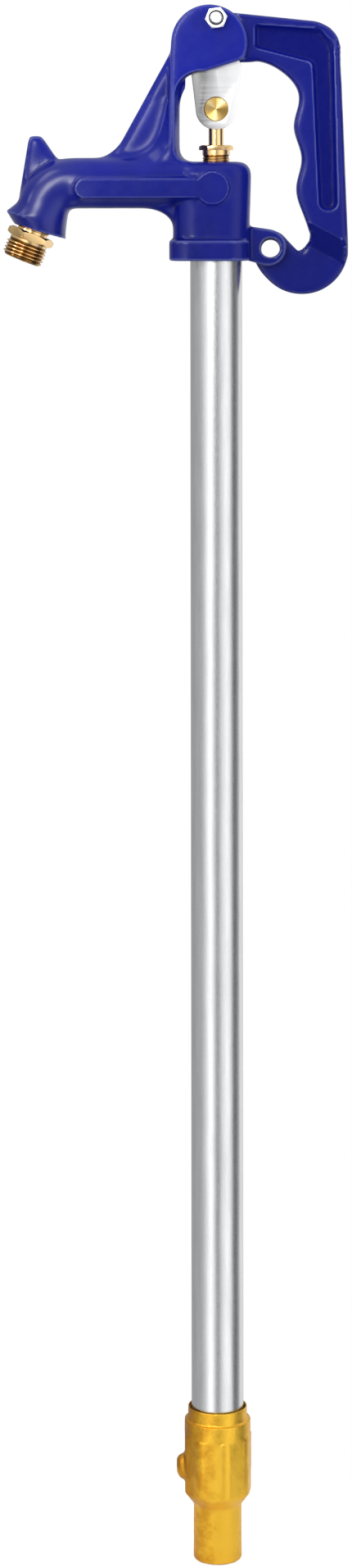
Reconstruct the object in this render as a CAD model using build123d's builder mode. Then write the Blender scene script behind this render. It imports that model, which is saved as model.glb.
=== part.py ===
from build123d import *
import math
import os

os.makedirs("parts", exist_ok=True)

# Frost-free yard hydrant with a one foot bury. Millimetres, Z up. The origin is the centre of the inlet's
# mouth on the pipe's axis. The spout points to -X, the handle hangs on +X, the fulcrum nut faces -Y.

# Fits and gaps
running_gap = 0.08       # radial, a shaft or piston in its bore
thread_gap = 0.05        # radial, screwed joints, which are drawn plain
side_gap = 0.3           # between flat plates that slide past each other
seat_gap = 0.25          # the seal above its seat with the valve shut

# Valve body, from the inlet up
inlet_bore_r = 12.35     # 3/4 in pipe thread, female
inlet_depth = 13.0
throat_r = 7.5
seat_z = 20.0
seat_lip_height = 1.5
seat_lip_width = 1.7
chamber_r = 12.7
neck_r = 15.7
neck_height = 35.0
flats_across = 42.4
flats_round_r = 22.3
flats_bottom_z = 46.6
flats_top_z = 79.0
band_r = 21.35
band_top_z = 89.3
rim_r = 19.1
valve_body_height = 97.8
mouth_chamfer = 0.8
rim_round = 0.8
socket_mouth_r = 18.0    # plain recess above the pipe socket's thread
socket_mouth_depth = 2.5
drain_z = 59.8
drain_boss_r = 7.5
drain_reach = 26.4
drain_boss_round = 2.0
drain_bore_r = 4.3       # 1/8 in pipe thread, female
drain_depth = 7.5
weep_r = 1.6

# Riser pipe, 1 in schedule 40
pipe_r = 16.7
pipe_wall = 3.38
pipe_shown = 735.2       # between the valve body's rim and the head's collar
pipe_engaged = 18.0      # screwed into each end

# Heights of the head
collar_base_z = valve_body_height + pipe_shown
collar_height = 13.5
head_top_z = collar_base_z + 63.7
spout_z = head_top_z - 13.8
pivot_z = head_top_z + 33.6      # rod pivot with the handle down
pivot_to_fulcrum = 57.9
fulcrum_z = pivot_z + pivot_to_fulcrum

# Lever linkage
crank = 20.0             # fulcrum to link pin
link_length = pivot_to_fulcrum - crank
handle_lift = math.radians(75)
rod_lift = pivot_to_fulcrum - crank * math.cos(handle_lift) - math.sqrt(
    link_length**2 - (crank * math.sin(handle_lift)) ** 2
)
fulcrum_bolt_r = 3.97
link_pin_r = 4.0
lever_half = 5.5         # half thickness of the lever's hub
link_plate = 2.5
plate_inner = lever_half + side_gap
plate_outer = plate_inner + link_plate
ear_inner = plate_outer + side_gap
ear_thickness = 6.0
ear_outer = ear_inner + ear_thickness

# Stem, rod and pivot
stem_r = 4.76            # 3/8 in
pivot_barrel_r = 9.5
pivot_journal_r = 7.8
stem_above_pivot = 11.5
coupling_z = collar_base_z - 43.0
coupling_length = 35.0
rod_hex_across = 14.3    # 9/16 in
lock_nut_height = 5.5

# Head body
body_left = 27.8
body_right = 21.3
body_right_top = 22.9
body_half = 19.3
body_corner_r = 14.0
body_top_round = 8.0
collar_left = 30.3
collar_right = 21.5
collar_half = 23.0
collar_corner_r = 12.0

# Spout
spout_height = 32.7
spout_width = 36.0
spout_corner_r = 13.5
arm_root = 21.5          # the arm starts this far from the pipe's axis
cove_reach = 19.0        # along the arm's underside from the body
cove_drop = 12.5
cove_half = 11.0
cove_root = 6.0
cove_round = 5.0
elbow_x = -92.5
elbow_r = 19.0
elbow_turn = 78.0
mouth_rim_x = -115.7
mouth_rim_z = spout_z - 23.4
mouth_x = -113.6
mouth_z = spout_z - 31.0
mouth_rim_width = 39.5
mouth_rim_height = mouth_rim_width + 1.0
mouth_width = 34.7
mouth_flat = 0.6         # half the straight run between the mouth's corners
mouth_tilt = 16.5
outlet_tilt = 22.0
outlet_bore_r = 10.65    # 1/2 in pipe thread, female
outlet_depth = 13.0
outlet_shift = 4.1       # the outlet's axis lies off the mouth's centre, away from the pipe
waterway_r = 7.5
waterway_z = spout_z - 5.0
waterway_bend_r = 17.0
waterway_chamber_r = 12.0
waterway_shift = 12.0
waterway_riser_x = 18.0
waterway_riser_r = 5.6

# Hose nozzle
nozzle_bore_r = 8.5
nozzle_neck = 2.6
nozzle_hex_across = 27.0
nozzle_hex_height = 5.4
nozzle_hex_turn = 18.4
nozzle_relief_r = 12.3
nozzle_relief = 1.4
hose_thread_r = 13.48    # 3/4 in garden hose thread, male
hose_thread_length = 12.0

# Yoke
ear_r = 24.7
ear_centre_x = -4.3
ear_centre_drop = 15.6   # below the fulcrum
post_left = 32.0           # at its foot; it leans in to the ears' edge
window_left = 23.3
window_r = 24.3
window_centre_drop = 57.0
ear_slope = 17.7
slot_left = 19.5
post_flare = 20.0
window_foot_r = 8.0
window_flare = 3.4       # the window widens towards the ears' faces
window_flank_r = 16.0
window_floor = 5.0       # and is straight in the middle, up to this far from the centre plane
ear_tip_r = 6.0
edge_round = 2.5
gusset_reach = 67.3      # from the pipe's axis to where the web's slope meets the spout
gusset_half = 6.0
gusset_toe_r = 24.0
swell_half = 11.5        # the thick root under the gusset
swell_round = 5.0

# Pail hook
hook_tip_x = -116.1
hook_tip_z = spout_z + 31.0
hook_half = 5.0

# Packing
packing_box_r = 8.85
packing_box_depth = 17.0
packing_floor = 5.7      # metal left under the packing
packing_ring_gap = 0.1
packing_ring_height = 3.0
packing_rings_count = 2
packing_washer_height = 1.5
packing_nut_across = 19.05
packing_nut_flange = 3.2
packing_nut_rise = 7.3   # flange's underside above the head's top

# Raised pad on the front of the spout and body
pad_disc_x = -2.6
pad_disc_r = 10.6
pad_z = spout_z - 3.2
pad_bar_left = -90.4
pad_bar_half = 6.1
pad_face = 21.0
pad_root = 15.0
pad_draft = 25.0

# Fulcrum bolt and nut, M8
fulcrum_hex_across = 12.7
fulcrum_hex_turn = 8.0
fulcrum_head_height = 5.3
fulcrum_nut_height = 6.6
fulcrum_bolt_shown = 1.4

# Padlock lug and the handle's tip behind it
lug_x = 34.8
lug_z = collar_base_z + 8.4
lug_hole_r = 6.4
lug_r = 11.9
lug_hole_shift = 1.6
lug_root_x = pipe_r + 2.0
lug_root_width = 4.0
lug_root_height = 21.5
lug_front = -5.0
lug_back = 4.0
tip_hole_r = 6.0
tip_r = 12.3
tip_back = 12.4

# Link plates, measured from the link pin
plate_head_r = 10.4
plate_shoulder = 12.7
plate_shoulder_drop = 10.6
plate_shoulder_r = 3.5
plate_foot_r = 13.0
journal_proud = 0.1
set_screw_r = 3.1
set_screw_socket = 3.2

# Lever's hub, with the slot that stands in for the link pin's round hole
hub_r = 8.5
slot_centre_x = 0.65
slot_travel = 5.0
slot_r = 5.4
slot_wall = 4.0

# Plunger
seal_height = 5.0
seal_r = 10.2
holder_height = 2.5
holder_r = 9.5
window_height = 6.0
window_width = 7.0
piston_height = 13.0
ring_inset = 3.3
groove_height = 2.9
groove_r = 10.5
ring_gap = 0.02
plunger_bore_r = 6.5
plunger_neck_height = 22.0
rod_socket_depth = 8.0
seal_screw_r = 2.4
seal_screw_head_r = 4.5
seal_screw_head = 2.6
seal_washer_r = 6.5
seal_washer_height = 1.0

# Handle
grip_start = 12.3        # the full thickness begins between the ears
hub_end = 25.0
shoulder_r = 10.0
notch_r = 2.0
joggle_slope = 28.0
joggle_start = 87.0
joggle_end = 100.5
joggle_lag = 1.2
grip_half = 8.0
recess_depth = 3.4
recess_draft = 34.0
handle_round = 3.0


def facing(y):
    """A plane at that y whose own x and y are the world's X and Z, and which faces -Y."""
    return Plane.XZ.offset(-y)


def corner(sketch, x, z):
    """The sketch's vertex nearest to that point of its own plane."""
    return sketch.vertices().sort_by_distance((x, z))[0]


def ring(outer_r, inner_r, base_z, height):
    """A plain ring on the pipe's axis."""
    with BuildPart() as made:
        with BuildSketch(Plane.XY.offset(base_z)):
            Circle(outer_r)
            Circle(inner_r, mode=Mode.SUBTRACT)
        extrude(amount=height)
    return made.part


# Valve body: threaded inlet, seat, plunger chamber, drain boss and pipe socket
seat_floor_z = seat_z - seat_lip_height
socket_floor_z = valve_body_height - pipe_engaged
with BuildPart() as valve_body:
    with BuildSketch(Plane.XZ) as valve_profile:
        with BuildLine():
            Polyline(
                (0, 0),
                (neck_r, 0),
                (neck_r, neck_height),
                (flats_round_r, flats_bottom_z),
                (flats_round_r, flats_top_z),
                (band_r, flats_top_z),
                (band_r, band_top_z),
                (rim_r, band_top_z),
                (rim_r, valve_body_height),
                (0, valve_body_height),
                close=True,
            )
        make_face()
    revolve(axis=Axis.Z)
    with BuildSketch(Plane.XY.offset(neck_height)):
        Circle(2 * flats_round_r)
        RegularPolygon(flats_across / 2, 8, major_radius=False, rotation=22.5, mode=Mode.SUBTRACT)
    extrude(amount=flats_top_z - neck_height, mode=Mode.SUBTRACT)
    chamfer(valve_body.edges().filter_by(GeomType.CIRCLE).group_by(Axis.Z)[0], mouth_chamfer)
    fillet(valve_body.edges().filter_by(GeomType.CIRCLE).group_by(Axis.Z)[-1], rim_round)
    with BuildSketch(Plane.YZ.offset(-drain_reach)):
        with Locations((0, drain_z)):
            Circle(drain_boss_r)
    extrude(amount=drain_reach - chamber_r - 1)
    fillet(valve_body.edges().sort_by(Axis.X)[0], drain_boss_round)
    with BuildSketch(Plane.XZ) as valve_bore:
        with BuildLine():
            Polyline(
                (0, 0),
                (inlet_bore_r, 0),
                (inlet_bore_r, inlet_depth),
                (throat_r, inlet_depth),
                (throat_r, seat_z),
                (throat_r + seat_lip_width, seat_z),
                (throat_r + seat_lip_width, seat_floor_z),
                (chamber_r, seat_floor_z),
                (chamber_r, socket_floor_z),
                (pipe_r + thread_gap, socket_floor_z),
                (pipe_r + thread_gap, valve_body_height - socket_mouth_depth),
                (socket_mouth_r, valve_body_height - socket_mouth_depth),
                (socket_mouth_r, valve_body_height),
                (0, valve_body_height),
                close=True,
            )
        make_face()
    revolve(axis=Axis.Z, mode=Mode.SUBTRACT)
    with BuildSketch(Plane.YZ.offset(-drain_reach)):
        with Locations((0, drain_z)):
            Circle(drain_bore_r)
    extrude(amount=drain_depth, mode=Mode.SUBTRACT)
    with BuildSketch(Plane.YZ.offset(-drain_reach)):
        with Locations((0, drain_z)):
            Circle(weep_r)
    extrude(amount=drain_reach, mode=Mode.SUBTRACT)

# Riser pipe
pipe_base_z = socket_floor_z
pipe_top_z = collar_base_z + pipe_engaged
with BuildPart() as riser_pipe:
    with BuildSketch(Plane.XY.offset(pipe_base_z)):
        Circle(pipe_r)
        Circle(pipe_r - pipe_wall, mode=Mode.SUBTRACT)
    extrude(amount=pipe_top_z - pipe_base_z)

# Yoke of the head: two ears on a post, open to the right, with the window over the body
ear_centre = (ear_centre_x, fulcrum_z - ear_centre_drop)
window_centre = (window_r - window_left, fulcrum_z - window_centre_drop)
slope = math.radians(ear_slope)
slope_start = (
    window_centre[0] - window_r * math.sin(slope),
    window_centre[1] + window_r * math.cos(slope),
)
slope_end = (slope_start[0] + 60, slope_start[1] + 60 * math.tan(slope))
post_root_z = head_top_z - 12
post_foot_z = head_top_z - 2.5

with BuildPart() as yoke:
    with BuildSketch(Plane.XZ) as yoke_outline:
        with Locations(ear_centre):
            Circle(ear_r)
        with BuildLine():
            Polyline(
                (ear_centre_x - ear_r, ear_centre[1]),
                (-post_left, post_foot_z),
                (-post_left, post_root_z),
                (0, post_root_z),
                (0, ear_centre[1]),
                close=True,
            )
        make_face()
        with Locations((-post_left - post_flare - 4, post_root_z)):
            Rectangle(post_flare + 20, post_foot_z - post_root_z, align=(Align.MIN, Align.MIN))
        with Locations(window_centre):
            Circle(window_r, mode=Mode.SUBTRACT)
        with BuildLine():
            Polyline(
                slope_start,
                slope_end,
                (slope_end[0], head_top_z),
                (-window_left, head_top_z),
                (-window_left, window_centre[1]),
                close=True,
            )
        make_face(mode=Mode.SUBTRACT)
        fillet(corner(yoke_outline, -post_left, post_foot_z), post_flare)
        fillet(corner(yoke_outline, -window_left, head_top_z), window_foot_r)
        fillet(corner(yoke_outline, 18, fulcrum_z - 26), ear_tip_r)
    extrude(amount=ear_outer, both=True)
    fillet(yoke.faces().filter_by(Axis.Y).edges(), edge_round)
    for side in (-1, 1):
        for depth, widening in ((ear_outer, window_flare), (window_floor, 0)):
            with BuildSketch(facing(side * depth)) as window_flank:
                with BuildLine():
                    Polyline(
                        (-window_left - widening, head_top_z),
                        (-window_left - widening, slope_start[1]),
                        (slope_start[0], slope_start[1]),
                        (slope_start[0], head_top_z),
                        close=True,
                    )
                make_face()
                fillet(corner(window_flank, -window_left - widening, slope_start[1]), window_flank_r)
                fillet(corner(window_flank, -window_left - widening, head_top_z), window_foot_r)
        loft(mode=Mode.SUBTRACT)
    with BuildSketch(Plane.XZ):
        with Locations((-slot_left, fulcrum_z - 46)):
            RectangleRounded(80, 90, 3, align=(Align.MIN, Align.MIN))
    extrude(amount=ear_inner, both=True, mode=Mode.SUBTRACT)

# Gusset web from the post down to the spout
spout_top_z = spout_z + spout_height / 2
gusset_base_z = spout_top_z - 0.8
gusset_top_x = -27.1
gusset_top_z = fulcrum_z - 16.9
with BuildPart() as gusset:
    with BuildSketch(Plane.XZ) as gusset_outline:
        with BuildLine():
            Polyline(
                (gusset_top_x, gusset_top_z),
                (-gusset_reach, gusset_base_z),
                (-gusset_reach - 26, gusset_base_z),
                (-gusset_reach - 26, gusset_base_z - 8),
                (gusset_top_x, gusset_base_z - 8),
                close=True,
            )
        make_face()
        fillet(corner(gusset_outline, -gusset_reach, gusset_base_z), gusset_toe_r)
    extrude(amount=gusset_half, both=True)
    web_edges = gusset.faces().filter_by(Axis.Y).edges()
    web_edges = web_edges.filter_by(Axis.Z, reverse=True).group_by(Axis.Z)[1:]
    fillet([edge for level in web_edges for edge in level], gusset_half - 1.5)

# Thick root where the gusset, the post and the spout run together
with BuildPart() as swell:
    with BuildSketch(Plane.XZ):
        with BuildLine():
            Spline(
                (-post_left + 4, head_top_z + 38),
                (-post_left - 1.5, head_top_z + 25),
                (-38.7, head_top_z + 11.9),
                (-45.6, head_top_z + 5.4),
                (-57.2, head_top_z + 1.8),
                (-gusset_reach - 5, head_top_z - 2),
            )
            Polyline(
                (-gusset_reach - 5, head_top_z - 2),
                (-gusset_reach - 5, spout_z),
                (-post_left + 4, spout_z),
                (-post_left + 4, head_top_z + 38),
            )
        make_face()
    extrude(amount=swell_half, both=True)
    swell_edges = swell.faces().filter_by(Axis.Y).edges().filter_by(GeomType.BSPLINE)
    fillet(swell_edges, swell_round)

# Body over the pipe, and the collar around the pipe's thread
collar_top_z = collar_base_z + collar_height
with BuildPart() as body:
    with BuildSketch(Plane.XY.offset(collar_top_z - 2)):
        with Locations(((body_right - body_left) / 2, 0)):
            RectangleRounded(body_left + body_right, 2 * body_half, body_corner_r)
    with BuildSketch(Plane.XY.offset(head_top_z)):
        with Locations(((body_right_top - body_left) / 2, 0)):
            RectangleRounded(body_left + body_right_top, 2 * body_half, body_corner_r)
    loft()
    fillet(body.faces().sort_by(Axis.Z)[-1].edges(), body_top_round)
with BuildPart() as collar:
    with BuildSketch(Plane.XY.offset(collar_base_z)):
        with Locations(((collar_right - collar_left) / 2, 0)):
            RectangleRounded(collar_left + collar_right, 2 * collar_half, collar_corner_r)
    extrude(amount=collar_height)
    fillet(collar.faces().sort_by(Axis.Z)[-1].edges(), 1.8)
    fillet(collar.faces().sort_by(Axis.Z)[0].edges(), 1.2)

# Spout: a straight arm, an elbow and a flared mouth
elbow_centre = (elbow_x, 0, spout_z - elbow_r)
turn = math.radians(elbow_turn)
elbow_end = (
    elbow_x - elbow_r * math.sin(turn),
    0,
    spout_z - elbow_r * (1 - math.cos(turn)),
)
tilt = math.radians(mouth_tilt)
mouth_down = (-math.sin(tilt), 0, -math.cos(tilt))
arm_plane = Plane(origin=(elbow_x, 0, spout_z), x_dir=(0, 1, 0), z_dir=(-1, 0, 0))
elbow_plane = Plane(origin=elbow_end, x_dir=(0, 1, 0), z_dir=(-math.cos(turn), 0, -math.sin(turn)))
rim_plane = Plane(origin=(mouth_rim_x, 0, mouth_rim_z), x_dir=(0, 1, 0), z_dir=mouth_down)
mouth_plane = Plane(origin=(mouth_x, 0, mouth_z), x_dir=(0, 1, 0), z_dir=mouth_down)
with BuildPart() as spout:
    with BuildSketch(arm_plane) as arm_section:
        RectangleRounded(spout_width, spout_height, spout_corner_r)
    extrude(amount=elbow_x + arm_root)
    revolve(arm_section.sketch, axis=Axis(elbow_centre, (0, -1, 0)), revolution_arc=elbow_turn)
    with BuildSketch(elbow_plane):
        RectangleRounded(spout_width, spout_height, spout_corner_r)
    with BuildSketch(rim_plane):
        RectangleRounded(mouth_rim_width, mouth_rim_height, mouth_rim_width / 2 - mouth_flat)
    loft()
    with BuildSketch(rim_plane):
        RectangleRounded(mouth_rim_width, mouth_rim_height, mouth_rim_width / 2 - mouth_flat)
    with BuildSketch(mouth_plane):
        RectangleRounded(mouth_width, mouth_width, mouth_width / 2 - mouth_flat)
    loft()

# Cove in the corner under the arm
spout_base_z = spout_z - spout_height / 2
with BuildPart() as cove:
    with BuildSketch(Plane.XZ):
        with Locations((-body_left - cove_reach, spout_base_z - cove_drop)):
            Rectangle(cove_reach + cove_root, cove_drop + cove_root, align=(Align.MIN, Align.MIN))
            Ellipse(cove_reach, cove_drop, mode=Mode.SUBTRACT)
    extrude(amount=cove_half, both=True)
    fillet(cove.edges().filter_by(GeomType.ELLIPSE), cove_round)

# Pail hook on the elbow
with BuildPart() as pail_hook:
    with BuildSketch(Plane.XZ) as hook_outline:
        with BuildLine():
            Polyline(
                (hook_tip_x - 4.6, hook_tip_z),
                (hook_tip_x + 3.8, hook_tip_z),
                (-102.0, spout_top_z - 0.5),
                (-104.0, spout_z),
                (-122.0, spout_z - 10),
                (-127.2, spout_z - 9),
                close=True,
            )
        make_face()
        fillet(hook_outline.vertices().group_by(Axis.Y)[-1], 3.2)
    extrude(amount=hook_half, both=True)
    fillet(pail_hook.faces().filter_by(Axis.Y).edges(), 3)

# Padlock lug on the collar
with BuildPart() as lug:
    with BuildSketch(facing(lug_back)):
        with Locations((lug_x - lug_hole_shift, lug_z)):
            Circle(lug_r)
        with Locations((lug_root_x, collar_base_z + 0.5)):
            Rectangle(lug_root_width, lug_root_height, align=(Align.MIN, Align.MIN))
        make_hull()
    extrude(amount=lug_back - lug_front)
    fillet(lug.faces().filter_by(Axis.Y).edges(), 1.5)

# Head casting: the forms above, the raised pad, the waterway and the bores
chamber_top_z = head_top_z - packing_box_depth - packing_floor
outlet = math.radians(outlet_tilt)
outlet_down = (-math.sin(outlet), 0, -math.cos(outlet))
outlet_plane = Plane(
    origin=(mouth_x - outlet_shift * math.cos(outlet), 0, mouth_z + outlet_shift * math.sin(outlet)),
    x_dir=(0, 1, 0),
    z_dir=outlet_down,
)
waterway_plane = Plane(origin=(elbow_x, 0, waterway_z), x_dir=(0, 1, 0), z_dir=(-1, 0, 0))
with BuildPart() as head_casting:
    add(body.part)
    add(collar.part)
    add(spout.part)
    add(cove.part)
    add(yoke.part)
    add(gusset.part)
    add(swell.part)
    add(pail_hook.part)
    add(lug.part)
    with BuildSketch(facing(-pad_face)) as pad_outline:
        with Locations((pad_disc_x, pad_z)):
            Circle(pad_disc_r)
        with Locations(((pad_disc_x + pad_bar_left) / 2, pad_z)):
            SlotOverall(pad_disc_x - pad_bar_left, 2 * pad_bar_half)
    extrude(amount=-(pad_face - pad_root), taper=-pad_draft)
    with BuildSketch(Plane.XY.offset(collar_base_z)):
        Circle(pipe_r + thread_gap)
    extrude(amount=pipe_engaged, mode=Mode.SUBTRACT)
    with BuildSketch(Plane.XY.offset(pipe_top_z)):
        with Locations((-waterway_shift / 2, 0)):
            SlotCenterToCenter(waterway_shift, 2 * waterway_chamber_r)
    extrude(amount=chamber_top_z - pipe_top_z, mode=Mode.SUBTRACT)
    with BuildSketch(Plane.XY.offset(pipe_top_z)):
        with Locations((-waterway_riser_x, 0)):
            Circle(waterway_riser_r)
    extrude(amount=waterway_z + waterway_riser_r - 1 - pipe_top_z, mode=Mode.SUBTRACT)
    with BuildSketch(waterway_plane) as waterway:
        Circle(waterway_r)
    extrude(amount=elbow_x + waterway_riser_x, mode=Mode.SUBTRACT)
    revolve(
        waterway.sketch,
        axis=Axis((elbow_x, 0, waterway_z - waterway_bend_r), (0, -1, 0)),
        revolution_arc=90 - outlet_tilt,
        mode=Mode.SUBTRACT,
    )
    with BuildSketch(outlet_plane):
        Circle(waterway_r)
    extrude(amount=-(outlet_depth + 6), mode=Mode.SUBTRACT)
    with BuildSketch(outlet_plane.offset(nozzle_neck)):
        Circle(outlet_bore_r + thread_gap)
    extrude(amount=-(nozzle_neck + outlet_depth), mode=Mode.SUBTRACT)
    with BuildSketch(Plane.XY.offset(head_top_z)):
        Circle(packing_box_r + thread_gap)
    extrude(amount=-packing_box_depth, mode=Mode.SUBTRACT)
    with BuildSketch(Plane.XY.offset(head_top_z)):
        Circle(stem_r + running_gap)
    extrude(amount=-(packing_box_depth + packing_floor), mode=Mode.SUBTRACT)
    with BuildSketch(facing(ear_outer)):
        with Locations((0, fulcrum_z)):
            Circle(fulcrum_bolt_r + running_gap)
    extrude(amount=2 * ear_outer, mode=Mode.SUBTRACT)
    with BuildSketch(facing(lug_back)):
        with Locations((lug_x, lug_z)):
            Circle(lug_hole_r)
    extrude(amount=lug_back - lug_front, mode=Mode.SUBTRACT)

# Hose nozzle: pipe thread into the spout, hexagon, and the male hose thread, all plain cylinders
nozzle_hex_start = nozzle_neck
nozzle_relief_start = nozzle_hex_start + nozzle_hex_height
nozzle_thread_start = nozzle_relief_start + nozzle_relief
nozzle_length = nozzle_thread_start + hose_thread_length
with BuildPart() as hose_nozzle:
    with BuildSketch(outlet_plane.offset(-(outlet_depth - 2))):
        Circle(outlet_bore_r)
    extrude(amount=outlet_depth - 2 + nozzle_neck)
    with BuildSketch(outlet_plane.offset(nozzle_hex_start)):
        RegularPolygon(nozzle_hex_across / 2, 6, major_radius=False, rotation=nozzle_hex_turn)
        Circle(nozzle_hex_across / 2 / math.cos(math.radians(30)) - 0.7, mode=Mode.INTERSECT)
    extrude(amount=nozzle_hex_height)
    with BuildSketch(outlet_plane.offset(nozzle_relief_start)):
        Circle(nozzle_relief_r)
    extrude(amount=nozzle_relief)
    with BuildSketch(outlet_plane.offset(nozzle_thread_start)):
        Circle(hose_thread_r)
    extrude(amount=hose_thread_length)
    nozzle_end = outlet_plane.offset(nozzle_length)
    end_face = hose_nozzle.faces().sort_by_distance(nozzle_end.origin)[0]
    chamfer(end_face.edges(), 0.8)
    with BuildSketch(nozzle_end):
        Circle(nozzle_bore_r)
    extrude(amount=-(nozzle_length + outlet_depth), mode=Mode.SUBTRACT)

# Packing in the head's top: two rings, a washer and the nut that squeezes them round the stem
packing_floor_z = head_top_z - packing_box_depth
washer_base_z = packing_floor_z + packing_rings_count * packing_ring_height
nut_end_z = washer_base_z + packing_washer_height
nut_flange_z = head_top_z + packing_nut_rise
stem_hole_r = stem_r + running_gap
with BuildPart() as packing_rings:
    for i in range(packing_rings_count):
        with BuildSketch(Plane.XY.offset(packing_floor_z + i * packing_ring_height)):
            Circle(packing_box_r)
            Circle(stem_hole_r, mode=Mode.SUBTRACT)
        extrude(amount=packing_ring_height - packing_ring_gap)
with BuildPart() as packing_washer:
    add(ring(packing_box_r, stem_hole_r, washer_base_z, packing_washer_height))
with BuildPart() as packing_nut:
    with BuildSketch(Plane.XY.offset(nut_end_z)):
        Circle(packing_box_r)
    extrude(amount=nut_flange_z - nut_end_z)
    with BuildSketch(Plane.XY.offset(nut_flange_z)):
        RegularPolygon(packing_nut_across / 2, 6, major_radius=False)
        Circle(packing_nut_across / 2 / math.cos(math.radians(30)) - 0.5, mode=Mode.INTERSECT)
    extrude(amount=packing_nut_flange)
    with BuildSketch(Plane.XY.offset(nut_end_z)):
        Circle(stem_hole_r)
    extrude(amount=nut_flange_z + packing_nut_flange - nut_end_z, mode=Mode.SUBTRACT)

# Fulcrum bolt with its head at the back and its nut at the front
with BuildPart() as fulcrum_bolt:
    with BuildSketch(facing(ear_outer + fulcrum_head_height)):
        with Locations((0, fulcrum_z)):
            RegularPolygon(fulcrum_hex_across / 2, 6, major_radius=False, rotation=fulcrum_hex_turn)
    extrude(amount=fulcrum_head_height)
    with BuildSketch(facing(ear_outer)):
        with Locations((0, fulcrum_z)):
            Circle(fulcrum_bolt_r)
    extrude(amount=2 * ear_outer + fulcrum_nut_height + fulcrum_bolt_shown)
    chamfer(fulcrum_bolt.faces().sort_by(Axis.Y)[0].edges(), 0.6)
with BuildPart() as fulcrum_nut:
    with BuildSketch(facing(-ear_outer)):
        with Locations((0, fulcrum_z)):
            RegularPolygon(fulcrum_hex_across / 2, 6, major_radius=False, rotation=fulcrum_hex_turn)
            Circle(fulcrum_bolt_r + thread_gap, mode=Mode.SUBTRACT)
    extrude(amount=fulcrum_nut_height)

# Lever and handle in one casting. Its lower end is set back to pass behind the lug.
joggle = math.radians(joggle_slope)
joggle_plane = Plane(
    origin=(0, 0, fulcrum_z),
    x_dir=(-math.sin(joggle), 0, -math.cos(joggle)),
    z_dir=(math.cos(joggle), 0, -math.sin(joggle)),
)
tip_front = lug_back + side_gap
tip_centre = (lug_x + 0.4, lug_z - 1.2)
pin_drop = fulcrum_z - crank


def tip_edge(degrees):
    angle = math.radians(degrees)
    return (tip_centre[0] + tip_r * math.cos(angle), tip_centre[1] + tip_r * math.sin(angle))


with BuildPart() as handle:
    with BuildSketch(Plane.XZ) as handle_outline:
        with BuildLine():
            Polyline(
                (17.0, fulcrum_z - 27.6),
                (grip_start, fulcrum_z - 20.0),
                (grip_start, fulcrum_z + 4.0),
                (73.0, fulcrum_z - 2.3),
                (80.2, fulcrum_z - 22),
                (85.3, fulcrum_z - 152),
            )
            ThreePointArc(
                (85.3, fulcrum_z - 152),
                (56.0, fulcrum_z - 177.3),
                (33.0, fulcrum_z - 167.3),
            )
            ThreePointArc(
                (33.0, fulcrum_z - 167.3),
                (26.7, fulcrum_z - 159.3),
                tip_edge(190),
            )
            ThreePointArc(tip_edge(190), tip_edge(112), tip_edge(34))
            Polyline(
                tip_edge(34),
                (54.3, fulcrum_z - 150.5),
                (60.4, fulcrum_z - 139),
            )
            Spline(
                (60.4, fulcrum_z - 139),
                (56.6, fulcrum_z - 127.3),
                (51.5, fulcrum_z - 108.5),
                (55.0, fulcrum_z - 89.5),
                (50.0, fulcrum_z - 69.0),
                (53.4, fulcrum_z - 50.0),
                (40.8, fulcrum_z - 32.8),
                (17.0, fulcrum_z - 27.6),
            )
        make_face()
        fillet(corner(handle_outline, 73.0, fulcrum_z - 2.3), shoulder_r)
        fillet(corner(handle_outline, 54.3, fulcrum_z - 150.5), notch_r)
    extrude(amount=grip_half + 6, both=True)
    with BuildSketch(joggle_plane) as thickness:
        with BuildLine():
            Polyline(
                (-60, -grip_half),
                (joggle_start, -grip_half),
                (joggle_end, tip_front),
                (200, tip_front),
                (200, tip_back),
                (joggle_end + joggle_lag, tip_back),
                (joggle_start + joggle_lag, grip_half),
                (-60, grip_half),
                close=True,
            )
        make_face()
    extrude(amount=200, both=True, mode=Mode.INTERSECT)
    broad_edges = [edge for face in handle.faces() if abs(face.normal_at().Y) > 0.5 for edge in face.edges()]
    rim_edges = [edge for edge in broad_edges if broad_edges.count(edge) == 1]
    fillet(rim_edges, handle_round)
    for side in (-1, 1):
        with BuildSketch(facing(side * (grip_half - recess_depth))) as recess:
            with BuildLine():
                Polyline(
                    (26.8, fulcrum_z - 5.8),
                    (66.0, fulcrum_z - 8.6),
                    (73.6, fulcrum_z - 18.0),
                    (75.9, fulcrum_z - 121.3),
                    (67.9, fulcrum_z - 121.3),
                    (63.6, fulcrum_z - 26.5),
                    (26.8, fulcrum_z - 17.0),
                    close=True,
                )
            make_face()
            fillet(corner(recess, 73.6, fulcrum_z - 18.0), 7)
            fillet(corner(recess, 63.6, fulcrum_z - 26.5), 6)
            fillet(recess.vertices().group_by(Axis.Y)[0], 3.9)
        extrude(amount=-side * (recess_depth + 0.01), taper=-recess_draft, mode=Mode.SUBTRACT)
    with BuildSketch(Plane.XZ) as hub_outline:
        with Locations((0, fulcrum_z)):
            Circle(hub_r)
        with Locations((slot_centre_x, pin_drop + 1)):
            Circle(slot_r + slot_wall)
        make_hull()
        with BuildLine():
            Polyline(
                (0, fulcrum_z + 5.2),
                (hub_end, fulcrum_z + 2.6),
                (hub_end, fulcrum_z - 27.6),
                (slot_centre_x, pin_drop + 1 - slot_r - slot_wall),
                close=True,
            )
        make_face()
    extrude(amount=lever_half, both=True)
    with BuildSketch(Plane.XZ):
        with Locations((0, fulcrum_z)):
            Circle(fulcrum_bolt_r + running_gap)
        with Locations((slot_centre_x, pin_drop + slot_travel / 2)):
            SlotCenterToCenter(slot_travel, 2 * slot_r, rotation=90)
    extrude(amount=2 * lever_half, both=True, mode=Mode.SUBTRACT)
    with BuildSketch(facing(tip_back)):
        with Locations(tip_centre):
            Circle(tip_hole_r)
    extrude(amount=tip_back - tip_front, mode=Mode.SUBTRACT)

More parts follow.
